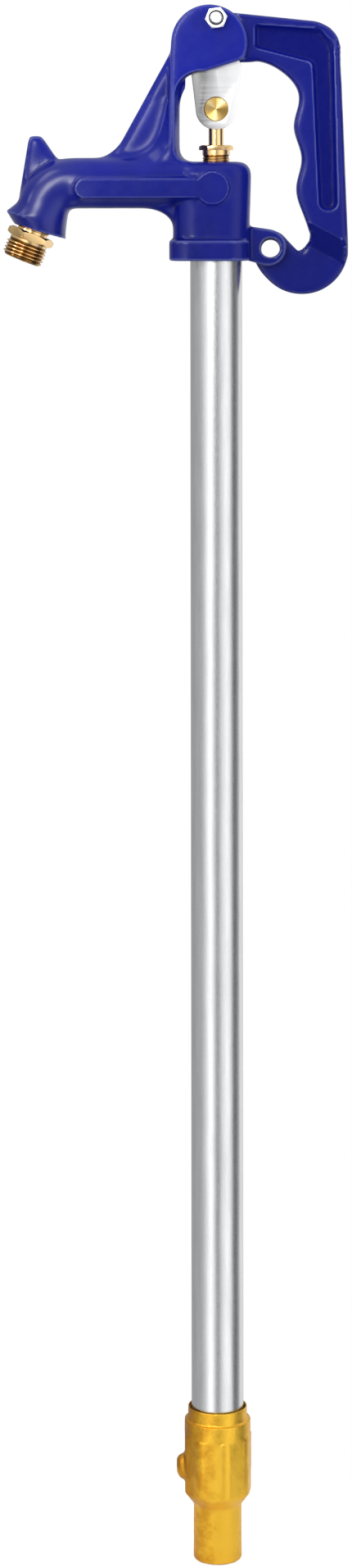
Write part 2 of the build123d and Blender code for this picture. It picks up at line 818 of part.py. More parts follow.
# Link: two plates and the pin through them
link_centre = (0, pivot_z)
with BuildPart() as link_plate_front:
    with BuildSketch(facing(-plate_inner)):
        with Locations((0, pin_drop)):
            Circle(plate_head_r)
        with Locations(
            (-plate_shoulder, pin_drop - plate_shoulder_drop),
            (plate_shoulder, pin_drop - plate_shoulder_drop),
        ):
            Circle(plate_shoulder_r)
        with Locations((0, pivot_z)):
            Circle(plate_foot_r)
        make_hull()
        with Locations((0, pivot_z)):
            Circle(pivot_journal_r + running_gap, mode=Mode.SUBTRACT)
        with Locations((0, pin_drop)):
            Circle(link_pin_r, mode=Mode.SUBTRACT)
    extrude(amount=link_plate)
with BuildPart() as link_plate_rear:
    add(mirror(link_plate_front.part, about=Plane.XZ, mode=Mode.PRIVATE))
with BuildPart() as link_pin:
    with BuildSketch(facing(plate_outer)):
        with Locations((0, pin_drop)):
            Circle(link_pin_r)
    extrude(amount=2 * plate_outer)

# Rod pivot: a brass barrel on the stem whose journals turn in the link plates
with BuildPart() as rod_pivot:
    with BuildSketch(facing(lever_half)):
        with Locations(link_centre):
            Circle(pivot_barrel_r)
    extrude(amount=2 * lever_half)
    with BuildSketch(facing(plate_outer + journal_proud)):
        with Locations(link_centre):
            Circle(pivot_journal_r)
    extrude(amount=2 * (plate_outer + journal_proud))
    with BuildSketch(Plane.XY.offset(pivot_z - pivot_barrel_r)):
        Circle(stem_r + thread_gap)
    extrude(amount=2 * pivot_barrel_r, mode=Mode.SUBTRACT)
    with BuildSketch(facing(plate_outer + journal_proud)):
        with Locations(link_centre):
            Circle(set_screw_r + thread_gap)
    extrude(amount=plate_outer + journal_proud, mode=Mode.SUBTRACT)
with BuildPart() as pivot_set_screw:
    with BuildSketch(facing(plate_outer)):
        with Locations(link_centre):
            Circle(set_screw_r)
    extrude(amount=plate_outer - stem_r - thread_gap)
    with BuildSketch(facing(plate_outer)):
        with Locations(link_centre):
            RegularPolygon(set_screw_socket / 2, 6, major_radius=False)
    extrude(amount=1.8, mode=Mode.SUBTRACT)

# Stem, coupling, lock nuts and operating rod
stem_top_z = pivot_z + stem_above_pivot
coupling_base_z = coupling_z - coupling_length / 2
coupling_top_z = coupling_z + coupling_length / 2
with BuildPart() as stem:
    with BuildSketch(Plane.XY.offset(coupling_z + 0.5)):
        Circle(stem_r)
    extrude(amount=stem_top_z - coupling_z - 0.5)
    chamfer(stem.faces().sort_by(Axis.Z)[-1].edges(), 0.8)
with BuildPart() as rod_coupling:
    with BuildSketch(Plane.XY.offset(coupling_base_z)):
        RegularPolygon(rod_hex_across / 2, 6, major_radius=False)
        Circle(stem_r + thread_gap, mode=Mode.SUBTRACT)
    extrude(amount=coupling_length)
with BuildPart() as coupling_lock_nuts:
    with BuildSketch(Plane.XY.offset(coupling_top_z)):
        RegularPolygon(rod_hex_across / 2, 6, major_radius=False)
        Circle(stem_r + thread_gap, mode=Mode.SUBTRACT)
    extrude(amount=lock_nut_height)
    with BuildSketch(Plane.XY.offset(coupling_base_z)):
        RegularPolygon(rod_hex_across / 2, 6, major_radius=False)
        Circle(stem_r + thread_gap, mode=Mode.SUBTRACT)
    extrude(amount=-lock_nut_height)

# Plunger: seal, its washer and screw, the hollow piston with two rings, and the neck that holds the rod
seal_z = seat_z + seat_gap
holder_z = seal_z + seal_height
piston_z = holder_z + holder_height + window_height
piston_top_z = piston_z + piston_height
plunger_top_z = piston_top_z + plunger_neck_height
rod_base_z = plunger_top_z - rod_socket_depth
with BuildPart() as plunger:
    with BuildSketch(Plane.XZ) as plunger_profile:
        with BuildLine():
            Polyline(
                (0, holder_z),
                (holder_r, holder_z),
                (holder_r, piston_z),
                (chamber_r - running_gap, piston_z),
                (chamber_r - running_gap, piston_top_z),
                (holder_r, piston_top_z),
                (holder_r, plunger_top_z),
                (0, plunger_top_z),
                close=True,
            )
        make_face()
    revolve(axis=Axis.Z)
    for ring_z in (piston_z + ring_inset, piston_top_z - ring_inset):
        add(ring(chamber_r + 1, groove_r, ring_z - groove_height / 2, groove_height), mode=Mode.SUBTRACT)
    with BuildSketch(Plane.XY.offset(holder_z + holder_height)):
        Circle(plunger_bore_r)
    extrude(amount=plunger_top_z - rod_socket_depth - 2 - holder_z - holder_height, mode=Mode.SUBTRACT)
    with BuildSketch(Plane.XY.offset(rod_base_z)):
        Circle(stem_r + thread_gap)
    extrude(amount=rod_socket_depth, mode=Mode.SUBTRACT)
    with BuildSketch(Plane.XY.offset(holder_z)):
        Circle(seal_screw_r + thread_gap)
    extrude(amount=holder_height, mode=Mode.SUBTRACT)
    for window_z, height in (
        (holder_z + holder_height, window_height - 1),
        (piston_top_z + 2, plunger_neck_height - rod_socket_depth - 6),
    ):
        with BuildSketch(Plane.XY.offset(window_z)):
            with PolarLocations(holder_r, 4):
                Rectangle(9, window_width)
        extrude(amount=height, mode=Mode.SUBTRACT)
with BuildPart() as plunger_rings:
    for ring_z in (piston_z + ring_inset, piston_top_z - ring_inset):
        add(ring(chamber_r - ring_gap, groove_r + ring_gap, ring_z - groove_height / 2 + 0.1, groove_height - 0.2))
with BuildPart() as seat_seal:
    add(ring(seal_r, seal_screw_r + thread_gap, seal_z, seal_height))
with BuildPart() as seal_washer:
    add(ring(seal_washer_r, seal_screw_r + thread_gap, seal_z - seal_washer_height, seal_washer_height))
with BuildPart() as seal_screw:
    with BuildSketch(Plane.XY.offset(seal_z - seal_washer_height)):
        Circle(seal_screw_head_r)
    extrude(amount=-seal_screw_head)
    chamfer(seal_screw.faces().sort_by(Axis.Z)[0].edges(), 0.8)
    with BuildSketch(Plane.XY.offset(seal_z - seal_washer_height)):
        Circle(seal_screw_r)
    extrude(amount=seal_washer_height + seal_height + holder_height)
with BuildPart() as operating_rod:
    with BuildSketch(Plane.XY.offset(rod_base_z)):
        Circle(stem_r)
    extrude(amount=coupling_z - 0.5 - rod_base_z)

pieces = {
    "head_casting": head_casting,
    "hose_nozzle": hose_nozzle,
    "packing_nut": packing_nut,
    "packing_washer": packing_washer,
    "packing_rings": packing_rings,
    "fulcrum_bolt": fulcrum_bolt,
    "fulcrum_nut": fulcrum_nut,
    "riser_pipe": riser_pipe,
    "valve_body": valve_body,
    "handle": handle,
    "link_plate_front": link_plate_front,
    "link_plate_rear": link_plate_rear,
    "link_pin": link_pin,
    "rod_pivot": rod_pivot,
    "pivot_set_screw": pivot_set_screw,
    "stem": stem,
    "rod_coupling": rod_coupling,
    "coupling_lock_nuts": coupling_lock_nuts,
    "operating_rod": operating_rod,
    "plunger": plunger,
    "plunger_rings": plunger_rings,
    "seat_seal": seat_seal,
    "seal_washer": seal_washer,
    "seal_screw": seal_screw,
}
for name, piece in pieces.items():
    piece.part.label = name
    export_step(piece.part, f"parts/{name}.step")
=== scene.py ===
import math

import bpy
from mathutils import Matrix, Vector


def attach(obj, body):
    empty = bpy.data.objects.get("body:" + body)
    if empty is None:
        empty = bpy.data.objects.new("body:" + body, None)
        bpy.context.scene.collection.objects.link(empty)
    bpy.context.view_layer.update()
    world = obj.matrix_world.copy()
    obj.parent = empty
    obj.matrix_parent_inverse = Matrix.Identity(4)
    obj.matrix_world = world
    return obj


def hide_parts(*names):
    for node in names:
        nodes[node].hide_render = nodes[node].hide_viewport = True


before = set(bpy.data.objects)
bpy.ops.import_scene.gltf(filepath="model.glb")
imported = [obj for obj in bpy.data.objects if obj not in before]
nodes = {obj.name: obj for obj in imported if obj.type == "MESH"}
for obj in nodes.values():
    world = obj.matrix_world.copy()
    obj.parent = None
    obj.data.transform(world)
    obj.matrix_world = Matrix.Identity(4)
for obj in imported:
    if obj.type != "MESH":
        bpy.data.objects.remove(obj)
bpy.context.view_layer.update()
mm = 0.001


def objectMode():
    bpy.ops.object.mode_set(mode="OBJECT")


def pickOnly(piece):
    if bpy.context.object and bpy.context.object.mode != "OBJECT":
        objectMode()
    bpy.ops.object.select_all(action="DESELECT")
    piece.select_set(True)
    bpy.context.view_layer.objects.active = piece


def editMode(piece, kind="FACE"):
    # into edit mode with nothing selected
    pickOnly(piece)
    bpy.ops.object.mode_set(mode="EDIT")
    bpy.ops.mesh.select_mode(type=kind)
    bpy.ops.mesh.select_all(action="DESELECT")


def applyAll(piece):
    pickOnly(piece)
    for modifier in list(piece.modifiers):
        bpy.ops.object.modifier_apply(modifier=modifier.name)


def cleanNormals(piece):
    editMode(piece)
    bpy.ops.mesh.select_all(action="SELECT")
    bpy.ops.mesh.remove_doubles(threshold=0.000005)
    bpy.ops.mesh.normals_make_consistent(inside=False)
    objectMode()


def smoothBy(piece, degrees):
    pickOnly(piece)
    bpy.ops.object.shade_smooth_by_angle(angle=math.radians(degrees))


def roundEdges(piece, width, segments, degrees):
    edge = piece.modifiers.new("edge", "BEVEL")
    edge.width = width * mm
    edge.segments = segments
    edge.limit_method = "ANGLE"
    edge.angle_limit = math.radians(degrees)
    applyAll(piece)


def standAt(piece, place):
    # the place goes into the mesh, so the object stays at the origin
    piece.matrix_world = place
    pickOnly(piece)
    bpy.ops.object.transform_apply(location=True, rotation=True, scale=True)


def axesAt(spot, xAxis, zAxis):
    yAxis = Vector(zAxis).cross(Vector(xAxis))
    turnTo = Matrix((Vector(xAxis), yAxis, Vector(zAxis))).transposed().to_4x4()
    return Matrix.Translation(Vector(spot) * mm) @ turnTo


def join(pieces, name):
    pickOnly(pieces[0])
    for other in pieces[1:]:
        other.select_set(True)
    bpy.ops.object.join()
    whole = bpy.context.object
    whole.name = name
    return whole


def copyOf(node, name):
    piece = nodes[node].copy()
    piece.data = nodes[node].data.copy()
    piece.name = name
    piece.data.name = name
    for key in list(piece.keys()):
        del piece[key]
    bpy.context.scene.collection.objects.link(piece)
    piece.parent = None
    piece.matrix_world = Matrix.Identity(4)
    cleanNormals(piece)
    return piece


def wire(name, start, strokes):
    # a closed outline in the xz plane, extruded stroke by stroke from one point
    bpy.ops.mesh.primitive_plane_add(size=0.001, location=(0, 0, 0))
    piece = bpy.context.object
    piece.name = name
    editMode(piece, "VERT")
    bpy.ops.mesh.select_all(action="SELECT")
    bpy.ops.mesh.merge(type="CENTER")
    bpy.ops.transform.translate(value=(start[0] * mm, 0, start[1] * mm))
    for out, up in strokes:
        stroke = (out * mm, 0, up * mm)
        bpy.ops.mesh.extrude_region_move(TRANSFORM_OT_translate={"value": stroke})
    bpy.ops.mesh.select_all(action="SELECT")
    bpy.ops.mesh.edge_face_add()
    bpy.ops.mesh.delete(type="ONLY_FACE")
    return piece


def turned(name, profile, steps=96, soft=30):
    # a closed profile of (radius, height), spun about z as on a lathe
    pairs = zip(profile, profile[1:])
    strokes = [(after[0] - before[0], after[1] - before[1]) for before, after in pairs]
    piece = wire(name, profile[0], strokes)
    bpy.ops.mesh.select_all(action="SELECT")
    bpy.ops.mesh.spin(steps=steps, angle=math.tau, center=(0, 0, 0), axis=(0, 0, 1))
    objectMode()
    cleanNormals(piece)
    if soft:
        smoothBy(piece, soft)
    return piece


ridgeForm = {
    "bite": 0.2,  # how deep its foot stands in the core
    "halfFoot": 0.47,  # share of the pitch
    "halfCrest": 0.07,  # share of the pitch
    "runOut": 0.35,  # turns
    "leastHeight": 0.03,  # share of the full height
    "soft": 40,
}


def threadRidge(name, rootR, crestR, pitch, bottom, turns, steps=64):
    # one closed ridge wound round the core; its ends run out to the root
    foot = rootR - ridgeForm["bite"]
    rise = crestR - foot
    half = pitch * ridgeForm["halfFoot"]
    flat = pitch * ridgeForm["halfCrest"]
    strokes = [(rise, half - flat), (0, 2 * flat), (-rise, half - flat)]
    ridge = wire(name, (foot, bottom - half), strokes)
    objectMode()
    wind = ridge.modifiers.new("wind", "SCREW")
    wind.axis = "Z"
    wind.angle = math.tau * turns
    wind.screw_offset = pitch * turns * mm
    wind.steps = wind.render_steps = int(steps * turns)
    wind.iterations = 1
    applyAll(ridge)
    corners = len(strokes) + 1
    last = len(ridge.data.vertices) // corners - 1
    rightHand = 1 if ridge.data.vertices[corners].co.y > 0 else -1
    for vertex in ridge.data.vertices:
        along = (vertex.index // corners) / last
        toEnd = min(along, 1 - along) * turns
        keep = min(1.0, ridgeForm["leastHeight"] + toEnd / ridgeForm["runOut"])
        radius = math.hypot(vertex.co.x, vertex.co.y)
        wanted = (foot * mm + (radius - foot * mm) * keep) / radius
        vertex.co.x *= wanted
        vertex.co.y *= wanted * rightHand
    editMode(ridge, "EDGE")
    bpy.ops.mesh.select_non_manifold()
    bpy.ops.mesh.fill_holes(sides=0)
    objectMode()
    cleanNormals(ridge)
    smoothBy(ridge, ridgeForm["soft"])
    return ridge


hexForm = {
    "slope": 30,  # of the turned corners
    "spare": 0.05,  # the cutter's reach past the corners
    "inset": 0.15,  # the turned corners end this far inside the flats
    "skim": 0.02,
    "edge": 0.12,
    "segments": 2,
    "soft": 25,
}


def hexBlock(name, across, bottom, height, turn, boreR, sink=0.0, ends=("top", "bottom")):
    # a hexagon whose corners are turned off at some ends, as on a bought nut
    cornerR = across / 2 / math.cos(math.pi / 6)
    middle = (0, 0, (bottom + height / 2) * mm)
    bpy.ops.mesh.primitive_cylinder_add(
        vertices=6, radius=cornerR * mm, depth=height * mm, location=middle
    )
    block = bpy.context.object
    block.name = name
    standAt(block, Matrix.Rotation(math.radians(turn), 4, "Z") @ block.matrix_world)
    outer = cornerR + hexForm["spare"]
    inner = across / 2 - hexForm["inset"]
    drop = (outer - inner) * math.tan(math.radians(hexForm["slope"]))
    skim = hexForm["skim"]
    top = bottom + height
    offTop = "top" in ends
    offBottom = "bottom" in ends
    cone = turned(
        "cone",
        [
            (boreR, bottom - skim),
            (inner if offBottom else outer, bottom - skim),
            (outer, bottom + drop if offBottom else bottom),
            (outer, top - drop if offTop else top),
            (inner if offTop else outer, top + skim),
            (boreR + sink, top + skim),
            (boreR, top - max(sink, skim / 2)),
        ],
        soft=None,
    )
    cut = block.modifiers.new("corners", "BOOLEAN")
    cut.operation = "INTERSECT"
    cut.solver = "EXACT"
    cut.object = cone
    applyAll(block)
    bpy.data.objects.remove(cone)
    roundEdges(block, hexForm["edge"], hexForm["segments"], hexForm["soft"])
    smoothBy(block, hexForm["soft"])
    return block


def calm(piece, degrees, rounds, leftOf=math.inf):
    # smooths what bends gently, left of a place along x, and leaves the edges alone;
    # up to these degrees it is full, and it fades out beyond
    fadeOut = 1.6
    mesh = piece.data
    bend = [0.0] * len(mesh.vertices)
    normals = [vertex.normal.copy() for vertex in mesh.vertices]
    for edge in mesh.edges:
        one, other = edge.vertices
        angle = normals[one].angle(normals[other], 0)
        bend[one] = max(bend[one], angle)
        bend[other] = max(bend[other], angle)
    gentle = piece.vertex_groups.new(name="gentle")
    full = math.radians(degrees)
    none = fadeOut * full
    for index, angle in enumerate(bend):
        if angle < none and mesh.vertices[index].co.x < leftOf * mm:
            weight = min(1.0, (none - angle) / (none - full))
            gentle.add([index], weight, "REPLACE")
    even = piece.modifiers.new("even", "SMOOTH")
    even.factor = 0.5
    even.iterations = rounds
    even.vertex_group = gentle.name
    applyAll(piece)
    piece.vertex_groups.clear()


def castSkin(node, name, look):
    # a poured skin over the machined form: edges and inner corners run soft,
    # and the faces are not quite flat
    piece = copyOf(node, name)
    grid = piece.modifiers.new("pour", "REMESH")
    grid.mode = "VOXEL"
    grid.voxel_size = look["voxel"] * mm
    soften = piece.modifiers.new("soften", "SMOOTH")
    soften.factor = 0.5
    soften.iterations = look["soften"]
    applyAll(piece)
    calm(piece, *look["calm"])
    for size, depth in look["waves"]:
        cloud = bpy.data.textures.new(name + "Sand", "CLOUDS")
        cloud.noise_scale = size * mm
        cloud.noise_depth = 2
        sand = piece.modifiers.new("sand", "DISPLACE")
        sand.texture = cloud
        sand.texture_coords = "LOCAL"
        sand.mid_level = 1.0
        sand.strength = depth * mm
    applyAll(piece)
    for face in piece.data.polygons:
        face.use_smooth = True
    print(name, "faces", len(piece.data.polygons))
    return piece


def evenOut(piece, wanted, rounds):
    # smooths the vertices that are wanted by their place
    editMode(piece, "VERT")
    objectMode()
    for vertex in piece.data.vertices:
        vertex.select = wanted(*(value / mm for value in vertex.co))
    bpy.ops.object.mode_set(mode="EDIT")
    bpy.ops.mesh.vertices_smooth(factor=0.5, repeat=rounds)
    objectMode()


def drawOut(piece, centre, wanted, reach, fade, hole=False):
    # moves the outline round a centre, seen from the front, to the wanted radius for each
    # direction; fade is where the move starts, is full, is full no more, and ends
    sector = 3
    start, full, fullEnd, end = fade
    farthest = 2.2 * max(wanted(start), wanted(end))
    spots = []
    edge = {}
    for vertex in piece.data.vertices:
        side = vertex.co.x - centre[0] * mm
        rise = vertex.co.z - centre[1] * mm
        radius = math.hypot(side, rise) / mm
        angle = math.degrees(math.atan2(rise, side))
        if start < angle < end and radius < farthest:
            spots.append((vertex, radius, angle))
            step = round(angle / sector)
            if hole:
                edge[step] = min(edge.get(step, 99), radius)
            else:
                edge[step] = max(edge.get(step, 0), radius)
    for vertex, radius, angle in spots:
        near = math.floor(angle / sector)
        share = angle / sector - near
        if near not in edge or near + 1 not in edge:
            continue
        outline = edge[near] * (1 - share) + edge[near + 1] * share
        hold = min(1, (angle - start) / (full - start), (end - angle) / (end - fullEnd))
        weight = max(0, 1 - abs(radius - outline) / reach) * hold
        grown = 1 + (wanted(angle) - outline) * weight / radius
        vertex.co.x = centre[0] * mm + (vertex.co.x - centre[0] * mm) * grown
        vertex.co.z = centre[1] * mm + (vertex.co.z - centre[1] * mm) * grown


def markCrests(piece, threads, dimFlats=None):
    # 0 at a thread's root and 1 at its crest; plain faces count as crests,
    # and the dimmed flats lie between
    underRoot = 0.6
    crest = piece.data.attributes.new("crest", "FLOAT", "POINT")
    for vertex in piece.data.vertices:
        x, y, z = (value / mm for value in vertex.co)
        radius = math.hypot(x, y)
        level = 1.0
        for low, high, rootR, crestR in threads:
            if low < z < high and radius > rootR - underRoot:
                level = max(0.0, min(1.0, (radius - rootR) / (crestR - rootR)))
        if dimFlats and dimFlats["bottom"] < z < dimFlats["top"] and radius > dimFlats["beyond"]:
            turn = math.degrees(math.atan2(y, x)) % 360
            if dimFlats["from"] < turn < dimFlats["to"]:
                level = dimFlats["level"]
        crest.data[vertex.index].value = level


def newMaterial(name):
    material = bpy.data.materials.new(name)
    material.use_nodes = True
    tree = material.node_tree
    return material, tree, tree.nodes["Principled BSDF"]


def fill(shader, sockets):
    for socket, value in sockets.items():
        shader.inputs[socket].default_value = value


def addNode(tree, kind, **values):
    node = tree.nodes.new(kind)
    for key, value in values.items():
        if key in node.inputs:
            node.inputs[key].default_value = value
        else:
            setattr(node, key, value)
    return node


def split(tree, vector):
    axes = addNode(tree, "ShaderNodeSeparateXYZ")
    tree.links.new(vector, axes.inputs["Vector"])
    return axes.outputs


def objectPlace(tree):
    return addNode(tree, "ShaderNodeTexCoord").outputs["Object"]


def objectNoise(tree, scale, detail=3.0, rough=0.5, stretch=(1, 1, 1)):
    mapping = addNode(tree, "ShaderNodeMapping")
    mapping.inputs["Scale"].default_value = stretch
    noise = addNode(tree, "ShaderNodeTexNoise", Scale=scale, Detail=detail, Roughness=rough)
    tree.links.new(objectPlace(tree), mapping.inputs["Vector"])
    tree.links.new(mapping.outputs["Vector"], noise.inputs["Vector"])
    return noise.outputs["Fac"]


def ramp(tree, source, stops):
    node = addNode(tree, "ShaderNodeValToRGB")
    elements = node.color_ramp.elements
    while len(elements) > 1:
        elements.remove(elements[0])
    elements[0].position = stops[0][0]
    elements[0].color = (*stops[0][1], 1)
    for position, colour in stops[1:]:
        element = elements.new(position)
        element.color = (*colour, 1)
    tree.links.new(source, node.inputs["Fac"])
    return node.outputs["Color"]


def spread(tree, source, low, high, fromLow=0.35, fromHigh=0.65):
    # a noise lies mostly between the two from values
    node = addNode(tree, "ShaderNodeMapRange")
    node.inputs["From Min"].default_value = fromLow
    node.inputs["From Max"].default_value = fromHigh
    node.inputs["To Min"].default_value = low
    node.inputs["To Max"].default_value = high
    tree.links.new(source, node.inputs["Value"])
    return node.outputs["Result"]


def reckon(tree, operation, first, second):
    node = addNode(tree, "ShaderNodeMath", operation=operation)
    tree.links.new(first, node.inputs[0])
    tree.links.new(second, node.inputs[1])
    return node.outputs[0]


def wander(tree, source, noise, reach):
    # shifts a value up and down by a noise
    return reckon(tree, "ADD", source, spread(tree, noise, -reach, reach))


def layOver(tree, amount, below, colour):
    node = addNode(tree, "ShaderNodeMix", data_type="RGBA")
    tree.links.new(amount, node.inputs["Factor"])
    tree.links.new(below, node.inputs["A"])
    node.inputs["B"].default_value = (*colour, 1)
    return node.outputs["Result"]


def bumpFrom(tree, source, strength, distance, before=None):
    node = addNode(tree, "ShaderNodeBump")
    node.inputs["Strength"].default_value = strength
    node.inputs["Distance"].default_value = distance
    tree.links.new(source, node.inputs["Height"])
    if before is not None:
        tree.links.new(before, node.inputs["Normal"])
    return node.outputs["Normal"]


def dress(tree, shader, colour, grain, rough, bump, depth=0.0002):
    # colour, roughness and relief of a plain metal
    tree.links.new(colour, shader.inputs["Base Color"])
    tree.links.new(spread(tree, grain, *rough), shader.inputs["Roughness"])
    tree.links.new(bumpFrom(tree, grain, bump, depth), shader.inputs["Normal"])


# places and reaches of an enamel are metres, and pointiness is 0.5 on a flat
headEnamel = {
    # lit and deep: painted light high on the casting and painted shade low on it, between the
    # heights low and high
    "lit": (0.0030, 0.0090, 0.255),
    "deep": (0.0015, 0.0050, 0.125),
    "low": 0.835,  # heights between which it turns from deep to lit
    "high": 0.955,
    "cloud": 0.14,
    "rough": (0.24, 0.34),
    "specular": 0.10,
    "coat": 0.66,
    "thinCoat": 0.30,
    "coatRoughness": 0.22,
    "fullest": (-0.104, -0.012, 0.872),  # the middle of the spout's bend
    "coatReach": (0.018, 0.034),
    # edge: thin enamel and a painted highlight, lighter on convex edges
    "edge": 0.42,
    "thinEdgeHighlightColour": (0.26, 0.30, 0.62),
    "edgePoint": (0.515, 0.56),
    # cornerShade: painted shade, darker in inner corners
    "cornerShade": 0.6,
    "cornerShadeColour": (0.002, 0.003, 0.06),
    "cornerShadePoint": (0.488, 0.455),
    "flowBump": 0.06,
    "grainBump": 0.03,
}
handleEnamel = dict(
    headEnamel,
    lit=(0.0020, 0.0060, 0.180),
    deep=(0.0014, 0.0045, 0.125),
    low=0.80,
    high=0.93,
    specular=0.06,
    coat=0.38,
    thinCoat=0.38,
    edge=0.60,
)
# painted shade: a darker copy of the handle's enamel for the floor of its recess
shadedRecessEnamel = dict(
    handleEnamel,
    lit=(0.0015, 0.0040, 0.135),
    deep=(0.0012, 0.0030, 0.105),
    specular=0.05,
    coat=0.14,
    thinCoat=0.14,
)


def enamel(name, look):
    # thin gloss over iron: it clouds a little, has thin enamel and a painted highlight on convex
    # edges, painted shade in inner corners, and painted light high on the casting with painted
    # shade towards its foot
    material, tree, shader = newMaterial(name)
    place = objectPlace(tree)
    # painted light and shade by height: lighter high on the casting, darker towards its foot
    rise = spread(tree, split(tree, place)["Z"], 0.12, 0.88, look["low"], look["high"])
    level = wander(tree, rise, objectNoise(tree, 38, 4), look["cloud"])
    tone = ramp(tree, level, [(0.0, look["deep"]), (1.0, look["lit"])])
    point = addNode(tree, "ShaderNodeNewGeometry").outputs["Pointiness"]
    edge = spread(tree, point, 0.0, look["edge"], *look["edgePoint"])
    cornerShade = spread(tree, point, 0.0, look["cornerShade"], *look["cornerShadePoint"])
    # thin enamel and a painted highlight on convex edges
    tone = layOver(tree, edge, tone, look["thinEdgeHighlightColour"])
    # painted shade in inner corners
    tone = layOver(tree, cornerShade, tone, look["cornerShadeColour"])
    tree.links.new(tone, shader.inputs["Base Color"])
    rough = spread(tree, objectNoise(tree, 160, 4), *look["rough"])
    tree.links.new(rough, shader.inputs["Roughness"])
    fill(
        shader,
        {
            "Coat Weight": look["coat"],
            "Coat Roughness": look["coatRoughness"],
            "Specular IOR Level": look["specular"],
        },
    )
    if look["thinCoat"] != look["coat"]:
        # the gloss lies thickest where the pour gathered
        reach = addNode(tree, "ShaderNodeVectorMath", operation="DISTANCE")
        tree.links.new(place, reach.inputs[0])
        reach.inputs[1].default_value = look["fullest"]
        distance = reach.outputs["Value"]
        coat = spread(tree, distance, look["coat"], look["thinCoat"], *look["coatReach"])
        tree.links.new(coat, shader.inputs["Coat Weight"])
    flow = bumpFrom(tree, objectNoise(tree, 150, 1), look["flowBump"], 0.0005)
    grain = bumpFrom(tree, objectNoise(tree, 900, 3), look["grainBump"], 0.0002, flow)
    tree.links.new(grain, shader.inputs["Normal"])
    tree.links.new(flow, shader.inputs["Coat Normal"])
    return material


plainMetal = {
    "cloud": 120,
    "cloudStretch": (1, 1, 1),
    "grain": 700,
    "grainStretch": (1, 1, 1),
    "bump": 0.06,
    "metallic": 1.0,
}
metals = {
    "turnedBrass": {
        "dark": (0.74, 0.48, 0.18),
        "light": (0.88, 0.62, 0.30),
        "rough": (0.16, 0.28),
        "cloud": 90,
        "bump": 0.04,
    },
    "stemBrass": {
        "dark": (0.84, 0.58, 0.25),
        "light": (0.94, 0.72, 0.38),
        "rough": (0.12, 0.20),
        "cloud": 60,
        "cloudStretch": (6, 6, 0.5),
        "grain": 800,
        "grainStretch": (2, 2, 0.1),
        "bump": 0.04,
    },
    "galvanised": {
        "dark": (0.64, 0.65, 0.66),
        "light": (0.72, 0.73, 0.74),
        "rough": (0.23, 0.28),
        "cloud": 70,
        "cloudStretch": (4, 4, 0.4),
        "grain": 900,
        "grainStretch": (1, 1, 0.25),
        "bump": 0.03,
    },
    "brightZinc": {
        "dark": (0.84, 0.85, 0.87),
        "light": (0.92, 0.92, 0.93),
        "rough": (0.36, 0.46),
        "cloud": 150,
        "bump": 0.04,
    },
    # black steel on the set screw, and painted shade in the fulcrum nut's bore
    "blackSteelAndShade": {
        "dark": (0.02, 0.02, 0.02),
        "light": (0.05, 0.05, 0.05),
        "rough": (0.4, 0.6),
        "cloud": 150,
        "metallic": 0.9,
    },
    "jointPaste": {
        "dark": (0.020, 0.015, 0.010),
        "light": (0.050, 0.036, 0.022),
        "rough": (0.5, 0.7),
        "cloud": 200,
        "metallic": 0.0,
    },
    "blackRubber": {
        "dark": (0.012, 0.012, 0.012),
        "light": (0.025, 0.025, 0.026),
        "rough": (0.6, 0.85),
        "cloud": 150,
        "metallic": 0.0,
    },
}


def metal(name, look):
    material, tree, shader = newMaterial(name)
    shader.inputs["Metallic"].default_value = look["metallic"]
    cloud = objectNoise(tree, look["cloud"], 4, 0.6, look["cloudStretch"])
    colour = ramp(tree, cloud, [(0.34, look["dark"]), (0.66, look["light"])])
    grain = objectNoise(tree, look["grain"], 3, 0.6, look["grainStretch"])
    dress(tree, shader, colour, grain, look["rough"], look["bump"])
    return material


polishedBrass = {
    "groove": (0.16, 0.065, 0.012),
    "light": (0.90, 0.62, 0.29),
    "rough": (0.12, 0.20),
}
glandBrass = {
    "groove": (0.20, 0.09, 0.02),
    "light": (0.88, 0.60, 0.28),
    "rough": (0.16, 0.26),
}


def threadBrass(name, look):
    # polished on the crests and brown in the grooves, by the piece's own attribute
    material, tree, shader = newMaterial(name)
    shader.inputs["Metallic"].default_value = 1.0
    crest = addNode(tree, "ShaderNodeAttribute", attribute_name="crest").outputs["Fac"]
    level = wander(tree, crest, objectNoise(tree, 90, 4, 0.6), 0.10)
    colour = ramp(tree, level, [(0.08, look["groove"]), (0.75, look["light"])])
    dress(tree, shader, colour, objectNoise(tree, 700, 3, 0.6), look["rough"], 0.04)
    return material


# colours of a painted reflection, laid in fans round the pivot's face
dullSheen = (0.52, 0.33, 0.09)
midSheen = (0.72, 0.49, 0.17)
brightSheen = (1.0, 0.80, 0.40)
pivotBrass = {
    "height": 0.9303,  # metres
    "rings": 320,
    "rough": 0.30,
    "brushed": 0.85,
    # round the face from the left, through the bottom, right and top
    "paintedFans": [
        (0.0, midSheen),
        (0.07, dullSheen),
        (0.16, midSheen),
        (0.23, brightSheen),
        (0.31, midSheen),
        (0.40, dullSheen),
        (0.50, dullSheen),
        (0.58, midSheen),
        (0.64, brightSheen),
        (0.70, midSheen),
        (0.76, dullSheen),
        (0.82, midSheen),
        (0.88, brightSheen),
        (0.95, midSheen),
        (1.0, midSheen),
    ],
}


